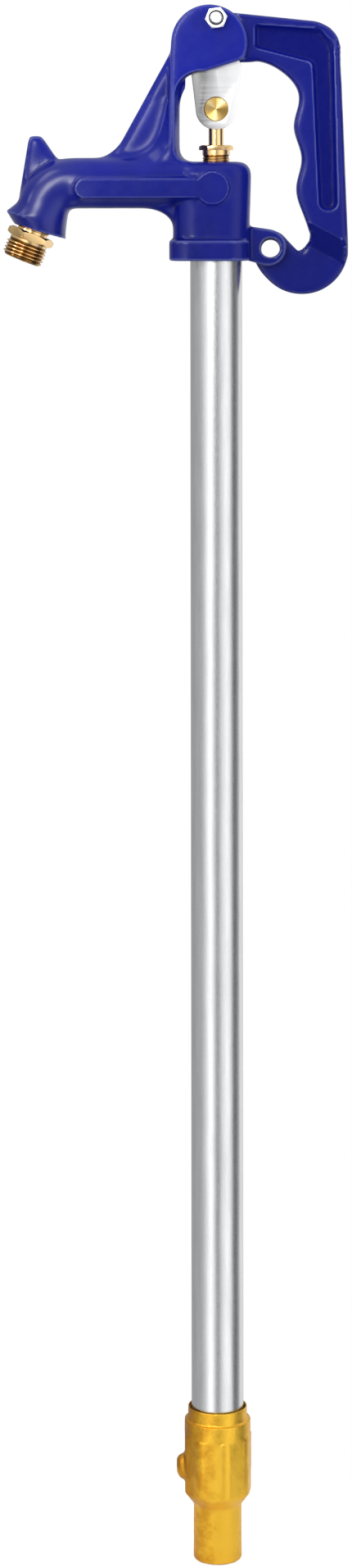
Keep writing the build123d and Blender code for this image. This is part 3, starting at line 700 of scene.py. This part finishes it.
def facedBrass(name, look):
    # faced on a lathe: fine rings in the relief, and a painted reflection in fans round the face
    # in the base colour
    material, tree, shader = newMaterial(name)
    mapping = addNode(tree, "ShaderNodeMapping")
    mapping.inputs["Location"].default_value = (0, 0, -look["height"])
    tree.links.new(objectPlace(tree), mapping.inputs["Vector"])
    rings = addNode(
        tree, "ShaderNodeTexWave", wave_type="RINGS", rings_direction="Y",
        Scale=look["rings"], Distortion=0.4, Detail=1.0,
    )
    tree.links.new(mapping.outputs["Vector"], rings.inputs["Vector"])
    axes = split(tree, mapping.outputs["Vector"])
    # painted reflection: the base colour changes by the angle round the face
    angle = reckon(tree, "ARCTAN2", axes["Z"], axes["X"])
    sector = spread(tree, angle, 0.0, 1.0, -math.pi, math.pi)
    tree.links.new(ramp(tree, sector, look["paintedFans"]), shader.inputs["Base Color"])
    tree.links.new(bumpFrom(tree, rings.outputs["Fac"], 0.35, 0.00004), shader.inputs["Normal"])
    around = addNode(tree, "ShaderNodeTangent", direction_type="RADIAL", axis="Y")
    tree.links.new(around.outputs["Tangent"], shader.inputs["Tangent"])
    fill(shader, {"Metallic": 1.0, "Roughness": look["rough"], "Anisotropic": look["brushed"]})
    return material


# a side-lit metal has painted light and shade along x, from -reach to reach in metres
# painted shade: the foot's brass darkens towards its left and a little at its right edge
footBrass = {
    "reach": 0.024,
    "sideLightTones": [
        (0.0, (0.50, 0.22, 0.016)),
        (0.25, (0.66, 0.33, 0.024)),
        (0.45, (0.82, 0.48, 0.042)),
        (0.75, (0.83, 0.50, 0.048)),
        (1.0, (0.74, 0.42, 0.048)),
    ],
    "cloud": (110, 5, 0.65),
    "wander": 0.14,
    "grain": (420, 3, 0.6),
    "rough": (0.32, 0.46),
    "bump": (0.2, 0.0002),
    "metallic": 0.95,
}
# painted reflection: the plates' grey runs from dark on the left to bright on the right
plateSheenGreys = ((0.0, 0.16), (0.21, 0.20), (0.37, 0.48), (0.5, 0.66), (0.76, 0.84), (1.0, 0.84))
plateSteel = {
    "reach": 0.017,
    "sideLightTones": [(position, (grey, grey, grey)) for position, grey in plateSheenGreys],
    "cloud": (420, 4, 0.6, (0.05, 1, 3.2)),
    "wander": 0.05,
    "grain": (420, 4, 0.6, (0.05, 1, 3.2)),
    "rough": (0.30, 0.38),
    "bump": (0.06, 0.0001),
    "metallic": 0.5,
}


def sideLitMetal(name, look):
    # painted light and shade along x: the cast foot is darker on its left and at its right edge as
    # painted shade, and the brushed plates carry a painted reflection
    material, tree, shader = newMaterial(name)
    shader.inputs["Metallic"].default_value = look["metallic"]
    reach = look["reach"]
    side = spread(tree, split(tree, objectPlace(tree))["X"], 0.0, 1.0, -reach, reach)
    level = wander(tree, side, objectNoise(tree, *look["cloud"]), look["wander"])
    # painted light and shade by x, with a noise wandering over it
    colour = ramp(tree, level, look["sideLightTones"])
    dress(tree, shader, colour, objectNoise(tree, *look["grain"]), look["rough"], *look["bump"])
    return material


finishes = {
    "headEnamel": enamel("headEnamel", headEnamel),
    "handleEnamel": enamel("handleEnamel", handleEnamel),
    "shadedRecessEnamel": enamel("shadedRecessEnamel", shadedRecessEnamel),
    "polishedBrass": threadBrass("polishedBrass", polishedBrass),
    "glandBrass": threadBrass("glandBrass", glandBrass),
    "facedBrass": facedBrass("facedBrass", pivotBrass),
    "castBrass": sideLitMetal("castBrass", footBrass),
    "linkSteel": sideLitMetal("linkSteel", plateSteel),
}
for name, look in metals.items():
    finishes[name] = metal(name, dict(plainMetal, **look))

nodeFinish = {
    "head_casting": "headEnamel",
    "handle": "handleEnamel",
    "hose_nozzle": "turnedBrass",
    "packing_nut": "turnedBrass",
    "packing_washer": "turnedBrass",
    "packing_rings": "blackRubber",
    "fulcrum_bolt": "brightZinc",
    "fulcrum_nut": "brightZinc",
    "riser_pipe": "galvanised",
    "valve_body": "castBrass",
    "link_plate_front": "linkSteel",
    "link_plate_rear": "linkSteel",
    "link_pin": "brightZinc",
    "rod_pivot": "facedBrass",
    "pivot_set_screw": "blackSteelAndShade",
    "stem": "stemBrass",
    "rod_coupling": "brightZinc",
    "coupling_lock_nuts": "brightZinc",
    "operating_rod": "brightZinc",
    "plunger": "turnedBrass",
    "plunger_rings": "blackRubber",
    "seat_seal": "blackRubber",
    "seal_washer": "turnedBrass",
    "seal_screw": "brightZinc",
}
for node, finish in nodeFinish.items():
    data = nodes[node].data
    data.materials.clear()
    data.materials.append(finishes[finish])
print("finishes laid on", len(nodeFinish), "nodes")


def standsFor(piece, node, finish, body):
    piece.data.materials.clear()
    piece.data.materials.append(finishes[finish])
    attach(piece, body)
    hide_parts(node)


def paintWhere(piece, finish, wanted):
    # a further finish on the faces that are wanted by their place and normal
    piece.data.materials.append(finishes[finish])
    number = len(piece.data.materials) - 1
    for face in piece.data.polygons:
        if wanted(*(face.center / mm), face.normal):
            face.material_index = number


headCast = {
    "skin": {"voxel": 1.0, "soften": 2, "calm": (8, 24), "waves": [(14, 0.2)]},
    "elbowCalm": (14, 60, -90.5),  # degrees, rounds, and left of this
    "rootX": (-80.0, -30.5),  # where the gusset runs into the spout, on both sides
    "rootY": (4.0, 17.5),
    "rootZ": (890.5, 938.0),
    "rootRounds": 30,
    "lastCalm": (10, 14),
}


def atGussetRoot(x, y, z):
    spans = ((headCast["rootX"], x), (headCast["rootY"], abs(y)), (headCast["rootZ"], z))
    return all(low < value < high for (low, high), value in spans)


head = castSkin("head_casting", "headCast", headCast["skin"])
calm(head, *headCast["elbowCalm"])
evenOut(head, atGussetRoot, headCast["rootRounds"])
calm(head, *headCast["lastCalm"])
standsFor(head, "head_casting", "headEnamel", "head")

leverCast = {
    "skin": {"voxel": 0.85, "soften": 2, "calm": (10, 30), "waves": [(14, 0.15)]},
    "backX": 79.6,  # the back edge at the height backAt; it leans out below
    "backAt": 970.0,
    "backLean": 0.0393,
    "backReach": 3.6,
    "backSpan": (842.0, 974.0),
    "backMiddle": 1.5,  # half the strip that stays flat
    "backRounds": 22,
    "corner": (65.6, 970.2),
    "cornerBack": 14.6,  # from its centre to the back edge
    "cornerR": 14.1,
    "cornerBlend": 16,
    "cornerSwell": (0.00033, 25),
    "cornerReach": 6.0,
    "cornerFade": (-58, -22, 74, 98),
    "rimFrom": -3,
    "rimR": (6.0, 13.0),
    "rimRounds": 8,
    "notch": (53.0, 848.2),
    "notchR": 7.5,
    "notchDown": (0.034, -45),
    "notchUp": 0.02,
    "notchReach": 5.0,
    "notchFade": (-95, -80, 15, 40),
    "recessHalf": 5.8,
    "recessX": (24, 80),
    "recessBottom": 862,
}


def onBackEdge(x, y, z):
    back = leverCast["backX"] + (leverCast["backAt"] - z) * leverCast["backLean"]
    low, high = leverCast["backSpan"]
    outside = x > back - leverCast["backReach"] and abs(y) > leverCast["backMiddle"]
    return outside and low < z < high


def cornerRadius(angle):
    # the handle's outer corner; below level it runs on into the straight back edge
    if angle < 0:
        return leverCast["cornerBack"] / math.cos(math.radians(angle))
    step = leverCast["cornerBack"] - leverCast["cornerR"]
    blend = max(0, 1 - angle / leverCast["cornerBlend"]) ** 2
    rate, start = leverCast["cornerSwell"]
    return leverCast["cornerR"] + step * blend + rate * max(0, angle - start) ** 2


def onCornerRim(x, y, z):
    side = x - leverCast["corner"][0]
    rise = z - leverCast["corner"][1]
    inner, outer = leverCast["rimR"]
    return min(side, rise) > leverCast["rimFrom"] and inner < math.hypot(side, rise) < outer


def notchRadius(angle):
    rate, start = leverCast["notchDown"]
    grown = rate * max(0, start - angle) + leverCast["notchUp"] * max(0, angle)
    return leverCast["notchR"] + grown


def inRecess(x, y, z, normal):
    left, right = leverCast["recessX"]
    deep = abs(y) < leverCast["recessHalf"] and abs(normal.y) > 0.8
    return deep and left < x < right and z > leverCast["recessBottom"]


lever = castSkin("handle", "handleCast", leverCast["skin"])
evenOut(lever, onBackEdge, leverCast["backRounds"])
reach, fade = leverCast["cornerReach"], leverCast["cornerFade"]
drawOut(lever, leverCast["corner"], cornerRadius, reach, fade)
evenOut(lever, onCornerRim, leverCast["rimRounds"])
reach, fade = leverCast["notchReach"], leverCast["notchFade"]
drawOut(lever, leverCast["notch"], notchRadius, reach, fade, hole=True)
standsFor(lever, "handle", "handleEnamel", "handle")
# painted shade on the recess floor
paintWhere(lever, "shadedRecessEnamel", inRecess)

footCast = {
    "skin": {"voxel": 0.75, "soften": 1, "calm": (9, 16), "waves": [(9, 0.22), (1.6, 0.11)]},
    "coreR": 15.0,  # what lies within stays as it is
    "neckTop": 35.0,
    "shoulder": 46.6,
    "wantedShoulder": 43.6,
    "flatsTop": 79.0,
    "turn": -8.5,  # the flats are turned, and the drain's boss is not
    "bossHold": 24,
    "turnFade": 22,
    "bossX": -21.6,
    "bossEnd": -26.4,
    "bossZ": 59.8,
    "bossTaper": 0.42,
    "pasteDepth": 3.0,
    "pasteR": 17.9,
}


def shapedFoot(x, y, z):
    drop = footCast["shoulder"] - footCast["wantedShoulder"]
    if footCast["neckTop"] < z < footCast["shoulder"]:
        z -= drop * (z - footCast["neckTop"]) / (footCast["shoulder"] - footCast["neckTop"])
    elif footCast["shoulder"] <= z < footCast["flatsTop"]:
        z -= drop * (footCast["flatsTop"] - z) / (footCast["flatsTop"] - footCast["shoulder"])
    fromBoss = 180 - abs(math.degrees(math.atan2(y, x)))
    share = max(0.0, min(1.0, (fromBoss - footCast["bossHold"]) / footCast["turnFade"]))
    swing = math.radians(footCast["turn"]) * share
    x, y = x * math.cos(swing) - y * math.sin(swing), x * math.sin(swing) + y * math.cos(swing)
    if x < footCast["bossX"]:
        into = min(1.0, (footCast["bossX"] - x) / (footCast["bossX"] - footCast["bossEnd"]))
        keep = 1 - footCast["bossTaper"] * into**2
        y *= keep
        z = footCast["bossZ"] + (z - footCast["bossZ"]) * keep
    return Vector((x, y, z))


foot = castSkin("valve_body", "footCast", footCast["skin"])
for vertex in foot.data.vertices:
    x, y, z = vertex.co / mm
    if math.hypot(x, y) > footCast["coreR"]:
        vertex.co = shapedFoot(x, y, z) * mm
pasteFrom = max(vertex.co.z for vertex in foot.data.vertices) / mm - footCast["pasteDepth"]


def inJoint(x, y, z, normal):
    return z > pasteFrom and math.hypot(x, y) < footCast["pasteR"]


standsFor(foot, "valve_body", "castBrass", "head")
paintWhere(foot, "jointPaste", inJoint)
print("castings skinned")

pipe = {"outerR": 16.7, "wall": 3.38, "bottom": 79.8, "top": 851.0, "chamfer": 0.8}
pipeBoreR = pipe["outerR"] - pipe["wall"]
riser = turned(
    "riserPipe",
    [
        (pipeBoreR, pipe["bottom"]),
        (pipe["outerR"] - pipe["chamfer"], pipe["bottom"]),
        (pipe["outerR"], pipe["bottom"] + pipe["chamfer"]),
        (pipe["outerR"], pipe["top"] - pipe["chamfer"]),
        (pipe["outerR"] - pipe["chamfer"], pipe["top"]),
        (pipeBoreR, pipe["top"]),
    ],
    128,
)
standsFor(riser, "riser_pipe", "galvanised", "head")
print("riser turned")

# the hose nozzle's z runs out along the outlet
nozzle = {
    "seat": (-117.4015, 0, 853.4359),
    "tilt": 22,
    "boreR": 8.5,
    "neckEnd": -10.6,
    "neckRootR": 9.9,
    "neckR": 10.6,
    "neckPitch": 1.81,
    "neckFrom": -4.0,
    "neckTurns": 3.1,
    "hexAcross": 27.0,
    "hexBottom": 2.6,
    "hexHeight": 5.4,
    "hexTurn": -11.6,
    "hexBoreR": 11.0,
    "lap": 0.3,  # how far a turned step runs on into the next
    "reliefR": 12.25,
    "relief": 1.4,
    "rootR": 12.1,
    "crestR": 13.46,
    "pitch": 2.21,
    "lead": 1.2,
    "turns": 4.5,
    "length": 21.4,
    "chamfer": 0.9,
    "endStep": 1.0,
    "hoseMargin": (0.2, 0.5),  # kept off the lower and upper end where the thread is marked
    "neckMargin": (-1.4, 0.1),
    "dimFlats": (12.9, 199.5, 258),  # beyond this radius, between these directions
}
hexTop = nozzle["hexBottom"] + nozzle["hexHeight"]
reliefTop = hexTop + nozzle["relief"]
core = turned(
    "nozzleCore",
    [
        (nozzle["boreR"], nozzle["neckEnd"]),
        (nozzle["neckRootR"], nozzle["neckEnd"]),
        (nozzle["neckRootR"], nozzle["hexBottom"] + nozzle["lap"]),
        (nozzle["reliefR"], nozzle["hexBottom"] + nozzle["lap"]),
        (nozzle["reliefR"], reliefTop),
        (nozzle["rootR"], reliefTop + nozzle["lap"]),
        (nozzle["rootR"], nozzle["length"] - nozzle["endStep"]),
        (nozzle["rootR"] - nozzle["chamfer"], nozzle["length"]),
        (nozzle["boreR"] + nozzle["chamfer"], nozzle["length"]),
        (nozzle["boreR"], nozzle["length"] - nozzle["chamfer"]),
    ],
)
hoseRidge = threadRidge(
    "hoseRidge", nozzle["rootR"], nozzle["crestR"], nozzle["pitch"],
    reliefTop + nozzle["lead"], nozzle["turns"],
)
neckRidge = threadRidge(
    "neckRidge", nozzle["neckRootR"], nozzle["neckR"], nozzle["neckPitch"],
    nozzle["neckFrom"], nozzle["neckTurns"],
)
nozzleHex = hexBlock(
    "nozzleHex", nozzle["hexAcross"], nozzle["hexBottom"], nozzle["hexHeight"],
    nozzle["hexTurn"], nozzle["hexBoreR"],
)
hose = join([core, hoseRidge, neckRidge, nozzleHex], "hoseNozzle")
below, above = nozzle["hoseMargin"]
hoseZone = (reliefTop + below, nozzle["length"] - above, nozzle["rootR"], nozzle["crestR"])
below, above = nozzle["neckMargin"]
neckEnds = (nozzle["neckEnd"] + below, nozzle["hexBottom"] - above)
neckZone = (*neckEnds, nozzle["neckRootR"], nozzle["neckR"])
beyond, dimFrom, dimTo = nozzle["dimFlats"]
# the hex flats facing forward and left are set halfway from crest to groove colour, so they render
# darker
dimFlats = {
    "bottom": nozzle["hexBottom"],
    "top": hexTop,
    "beyond": beyond,
    "from": dimFrom,
    "to": dimTo,
    "level": 0.5,
}
markCrests(hose, [hoseZone, neckZone], dimFlats)
tilt = math.radians(nozzle["tilt"])
standAt(hose, axesAt(nozzle["seat"], (0, 1, 0), (-math.sin(tilt), 0, -math.cos(tilt))))
standsFor(hose, "hose_nozzle", "polishedBrass", "head")
print("hose nozzle cut")

gland = {
    "boreR": 4.95,
    "rootR": 8.2,
    "crestR": 8.83,
    "pitch": 1.41,
    "bottom": 887.4,
    "threadTop": 900.4,
    "threadEase": 0.8,  # plain length at each end of the thread
    "step": 0.6,
    "flange": 904.0,
    "lap": 0.2,
    "across": 19.05,
    "height": 3.2,
    "turn": 30,
    "hexBoreR": 4.9,
    "sink": 0.6,
    "margin": (0.2, -0.3),  # as the hose thread's
}
glandCore = turned(
    "glandCore",
    [
        (gland["boreR"], gland["bottom"]),
        (gland["rootR"], gland["bottom"]),
        (gland["rootR"], gland["threadTop"]),
        (gland["crestR"], gland["threadTop"] + gland["step"]),
        (gland["crestR"], gland["flange"] + gland["lap"]),
        (gland["boreR"], gland["flange"] + gland["lap"]),
    ],
)
glandTurns = (gland["threadTop"] - gland["bottom"] - 2 * gland["threadEase"]) / gland["pitch"]
glandRidge = threadRidge(
    "glandRidge", gland["rootR"], gland["crestR"], gland["pitch"],
    gland["bottom"] + gland["threadEase"], glandTurns,
)
glandHex = hexBlock(
    "glandHex", gland["across"], gland["flange"], gland["height"],
    gland["turn"], gland["hexBoreR"], gland["sink"], ("top",),
)
glandNut = join([glandCore, glandRidge, glandHex], "packingNut")
below, above = gland["margin"]
glandEnds = (gland["bottom"] + below, gland["threadTop"] - above)
markCrests(glandNut, [(*glandEnds, gland["rootR"], gland["crestR"])])
standsFor(glandNut, "packing_nut", "glandBrass", "head")
print("packing nut cut")

# the bolt's and nut's own z runs out of the front of the ears
fulcrum = {
    "height": 988.2,
    "ear": 14.6,
    "shankR": 3.9,
    "shankBack": 0.5,  # how far it runs into the head
    "shankEnd": 12.0,
    "rootR": 3.5,
    "crestR": 3.95,
    "pitch": 1.25,
    "step": 0.4,
    "lead": 1.2,
    "ease": 0.8,
    "end": 22.6,
    "point": 0.5,
    "across": 12.7,
    "turn": -22,
    "headHeight": 5.3,
    "headBoreR": 0.5,
    "nutHeight": 6.6,
    "nutBoreR": 4.05,
    "nutSink": 0.75,
    "shadeR": 4.9,
}


def acrossEars(height):
    return axesAt((0, 0, height), (1, 0, 0), (0, -1, 0))


# painted shade: the nut's bore and countersink get the black finish
def inShadedNutBore(x, y, z, normal):
    return math.hypot(x, z - fulcrum["height"]) < fulcrum["shadeR"] and abs(normal.y) < 0.95


shankFoot = -fulcrum["ear"] - fulcrum["shankBack"]
shank = turned(
    "boltShank",
    [
        (0, shankFoot),
        (fulcrum["shankR"], shankFoot),
        (fulcrum["shankR"], fulcrum["shankEnd"]),
        (fulcrum["rootR"], fulcrum["shankEnd"] + fulcrum["step"]),
        (fulcrum["rootR"], fulcrum["end"] - fulcrum["point"]),
        (fulcrum["rootR"] - fulcrum["step"], fulcrum["end"]),
        (0, fulcrum["end"]),
    ],
    64,
)
boltThread = fulcrum["end"] - fulcrum["shankEnd"] - fulcrum["lead"] - fulcrum["ease"]
boltRidge = threadRidge(
    "boltRidge", fulcrum["rootR"], fulcrum["crestR"], fulcrum["pitch"],
    fulcrum["shankEnd"] + fulcrum["lead"], boltThread / fulcrum["pitch"], 40,
)
boltHead = hexBlock(
    "boltHead", fulcrum["across"], -fulcrum["ear"] - fulcrum["headHeight"], fulcrum["headHeight"],
    fulcrum["turn"], fulcrum["headBoreR"], ends=("bottom",),
)
bolt = join([shank, boltRidge, boltHead], "fulcrumBolt")
standAt(bolt, acrossEars(fulcrum["height"]))
standsFor(bolt, "fulcrum_bolt", "brightZinc", "head")
nut = hexBlock(
    "fulcrumNut", fulcrum["across"], fulcrum["ear"], fulcrum["nutHeight"],
    fulcrum["turn"], fulcrum["nutBoreR"], fulcrum["nutSink"],
)
standAt(nut, acrossEars(fulcrum["height"]))
standsFor(nut, "fulcrum_nut", "brightZinc", "head")
# painted shade inside the nut
paintWhere(nut, "blackSteelAndShade", inShadedNutBore)
print("fulcrum bolted")

plates = {"edge": 0.35, "segments": 2, "sharp": 35, "flat": 2, "soft": 30}
for node, name in (("link_plate_front", "linkPlateFront"), ("link_plate_rear", "linkPlateRear")):
    plate = copyOf(node, name)
    editMode(plate)
    bpy.ops.mesh.select_all(action="SELECT")
    bpy.ops.mesh.dissolve_limited(angle_limit=math.radians(plates["flat"]))
    objectMode()
    roundEdges(plate, plates["edge"], plates["segments"], plates["sharp"])
    smoothBy(plate, plates["soft"])
    standsFor(plate, node, "linkSteel", "link")

# the pin is peened over at both ends
linkPin = {"height": 968.2, "radius": 3.98, "endR": 3.3, "half": 8.3, "straight": 7.7}
pin = turned(
    "linkPin",
    [
        (0, -linkPin["half"]),
        (linkPin["endR"], -linkPin["half"]),
        (linkPin["radius"], -linkPin["straight"]),
        (linkPin["radius"], linkPin["straight"]),
        (linkPin["endR"], linkPin["half"]),
        (0, linkPin["half"]),
    ],
    48,
)
standAt(pin, acrossEars(linkPin["height"]))
standsFor(pin, "link_pin", "brightZinc", "link")

pivot = {
    "height": 930.3,
    "barrelR": 9.5,
    "barrel": 5.5,
    "barrelChamfer": 0.4,
    "journalR": 7.75,
    "face": 8.4,
    "faceChamfer": 0.5,
    "screwR": 3.15,
    "screwFloor": -4.8,
}
barrel = turned(
    "rodPivot",
    [
        (pivot["screwR"], -pivot["face"]),
        (pivot["journalR"] - pivot["faceChamfer"], -pivot["face"]),
        (pivot["journalR"], -pivot["face"] + pivot["faceChamfer"]),
        (pivot["journalR"], -pivot["barrel"]),
        (pivot["barrelR"] - pivot["barrelChamfer"], -pivot["barrel"]),
        (pivot["barrelR"], -pivot["barrel"] + pivot["barrelChamfer"]),
        (pivot["barrelR"], pivot["barrel"] - pivot["barrelChamfer"]),
        (pivot["barrelR"] - pivot["barrelChamfer"], pivot["barrel"]),
        (pivot["journalR"], pivot["barrel"]),
        (pivot["journalR"], pivot["face"] - pivot["faceChamfer"]),
        (pivot["journalR"] - pivot["faceChamfer"], pivot["face"]),
        (0, pivot["face"]),
        (0, pivot["screwFloor"]),
        (pivot["screwR"], pivot["screwFloor"]),
    ],
)
standAt(barrel, acrossEars(pivot["height"]))
standsFor(barrel, "rod_pivot", "facedBrass", "rod")
print("link and rod pivot fitted")

# the studio is in metres
studio = {
    "cameraX": -0.0258,
    "cameraHeight": 0.879,
    "distance": 2.25,
    "photoHeight": 1.0082,
    "middle": 0.4965,
    "roll": 0.0012,  # radians
    "sensor": 36,
    "overheadFrom": (0.45, 0.85),
    "overhead": (1.05, 1.05, 1.05),
    "underfootFrom": (-0.50, -0.80),
    "underfoot": (0.22, 0.24, 0.38),
    "floorR": 0.16,
    "floorDrop": 0.0004,
    "floorColour": (0.82, 0.82, 0.82, 1),
    "floorGlow": 0.5,
}
eye = bpy.data.cameras.new("photoView")
camera = bpy.data.objects.new("photoView", eye)
bpy.context.scene.collection.objects.link(camera)
camera.location = (studio["cameraX"], -studio["distance"], studio["cameraHeight"])
camera.rotation_euler = (math.pi / 2, studio["roll"], 0)
eye.sensor_width = studio["sensor"]
eye.lens = studio["sensor"] * studio["distance"] / studio["photoHeight"]
eye.shift_y = (studio["middle"] - studio["cameraHeight"]) / studio["photoHeight"]
eye.clip_start = 0.05
eye.clip_end = 100
bpy.context.scene.camera = camera


def seenAs(tree, lit, shown):
    # one shader gives the light and the reflections, and the camera sees the other
    rays = addNode(tree, "ShaderNodeLightPath")
    pick = addNode(tree, "ShaderNodeMixShader")
    tree.links.new(rays.outputs["Is Camera Ray"], pick.inputs["Fac"])
    tree.links.new(lit.outputs[0], pick.inputs[1])
    tree.links.new(shown.outputs[0], pick.inputs[2])
    return pick.outputs[0]


# softboxes and grey cards round the object: degrees from the camera, positive to the right
cards = [
    (-180, 0.48),
    (-137, 0.43),
    (-122, 0.43),
    (-97, 0.50),
    (-77, 0.50),
    (-60, 0.70),
    (-44, 1.20),
    (-29, 1.75),
    (-16, 1.15),
    (-5, 0.42),
    (5, 0.34),
    (14, 0.76),
    (29, 1.20),
    (44, 1.42),
    (58, 1.25),
    (66, 0.90),
    (74, 0.28),
    (82, 0.14),
    (92, 0.18),
    (105, 0.36),
    (122, 1.05),
    (148, 0.95),
    (180, 0.48),
]
world = bpy.data.worlds.new("studioSky")
bpy.context.scene.world = world
world.use_nodes = True
sky = world.node_tree
sky.nodes.clear()
axes = split(sky, addNode(sky, "ShaderNodeTexCoord").outputs["Generated"])
ahead = addNode(sky, "ShaderNodeMath", operation="MULTIPLY")
ahead.inputs[1].default_value = -1
sky.links.new(axes["Y"], ahead.inputs[0])
turn = reckon(sky, "ARCTAN2", axes["X"], ahead.outputs[0])
share = spread(sky, turn, 0.0, 1.0, -math.pi, math.pi)
tone = ramp(sky, share, [((angle + 180) / 360, (grey, grey, grey)) for angle, grey in cards])
high = spread(sky, axes["Z"], 0.0, 1.0, *studio["overheadFrom"])
low = spread(sky, axes["Z"], 0.0, 1.0, *studio["underfootFrom"])
tone = layOver(sky, high, tone, studio["overhead"])
tone = layOver(sky, low, tone, studio["underfoot"])
lit = addNode(sky, "ShaderNodeBackground", Strength=1.0)
sky.links.new(tone, lit.inputs["Color"])
white = addNode(sky, "ShaderNodeBackground", Color=(1, 1, 1, 1))
out = addNode(sky, "ShaderNodeOutputWorld")
sky.links.new(seenAs(sky, lit, white), out.inputs["Surface"])

bpy.ops.mesh.primitive_circle_add(
    vertices=96, radius=studio["floorR"], fill_type="NGON", location=(0, 0, -studio["floorDrop"])
)
floor = bpy.context.object
floor.name = "floor"
floorStuff, floorTree, floorShader = newMaterial("floorStuff")
floorLook = {"Base Color": studio["floorColour"], "Roughness": 0.9, "Specular IOR Level": 0.1}
fill(floorShader, floorLook)
glow = addNode(floorTree, "ShaderNodeEmission", Color=(1, 1, 1, 1), Strength=studio["floorGlow"])
dark = addNode(floorTree, "ShaderNodeEmission", Strength=0)
both = addNode(floorTree, "ShaderNodeAddShader")
floorTree.links.new(floorShader.outputs[0], both.inputs[0])
floorTree.links.new(seenAs(floorTree, dark, glow), both.inputs[1])
floorTree.links.new(both.outputs[0], floorTree.nodes["Material Output"].inputs["Surface"])
floor.data.materials.append(floorStuff)

# place, aim, size, power, and whether it shows in the gloss;
# the side lamp would glare along the raised handle
lamps = {
    "keyLamp": ((-0.56, -1.98, 1.37), (-0.05, 0, 0.88), 0.55, 12.0, True),
    "topLamp": ((-1.2, -0.9, 2.4), (0, 0, 0.9), 0.8, 7.0, True),
    "leftLamp": ((-1.6, -0.8, 1.35), (0, 0, 0.9), 0.4, 3.0, True),
    "sideLamp": ((1.6, -1.0, 1.3), (0, 0, 0.9), 0.3, 9.0, False),
}
for name, (spot, aim, size, power, inGloss) in lamps.items():
    light = bpy.data.lights.new(name, "AREA")
    light.energy = power
    light.size = size
    lamp = bpy.data.objects.new(name, light)
    bpy.context.scene.collection.objects.link(lamp)
    lamp.location = spot
    lamp.rotation_euler = (Vector(aim) - Vector(spot)).to_track_quat("-Z", "Y").to_euler()
    lamp.visible_camera = False
    lamp.visible_glossy = inGloss
bpy.context.scene.view_settings.view_transform = "Standard"
print("studio lit by", len(lamps), "lamps")
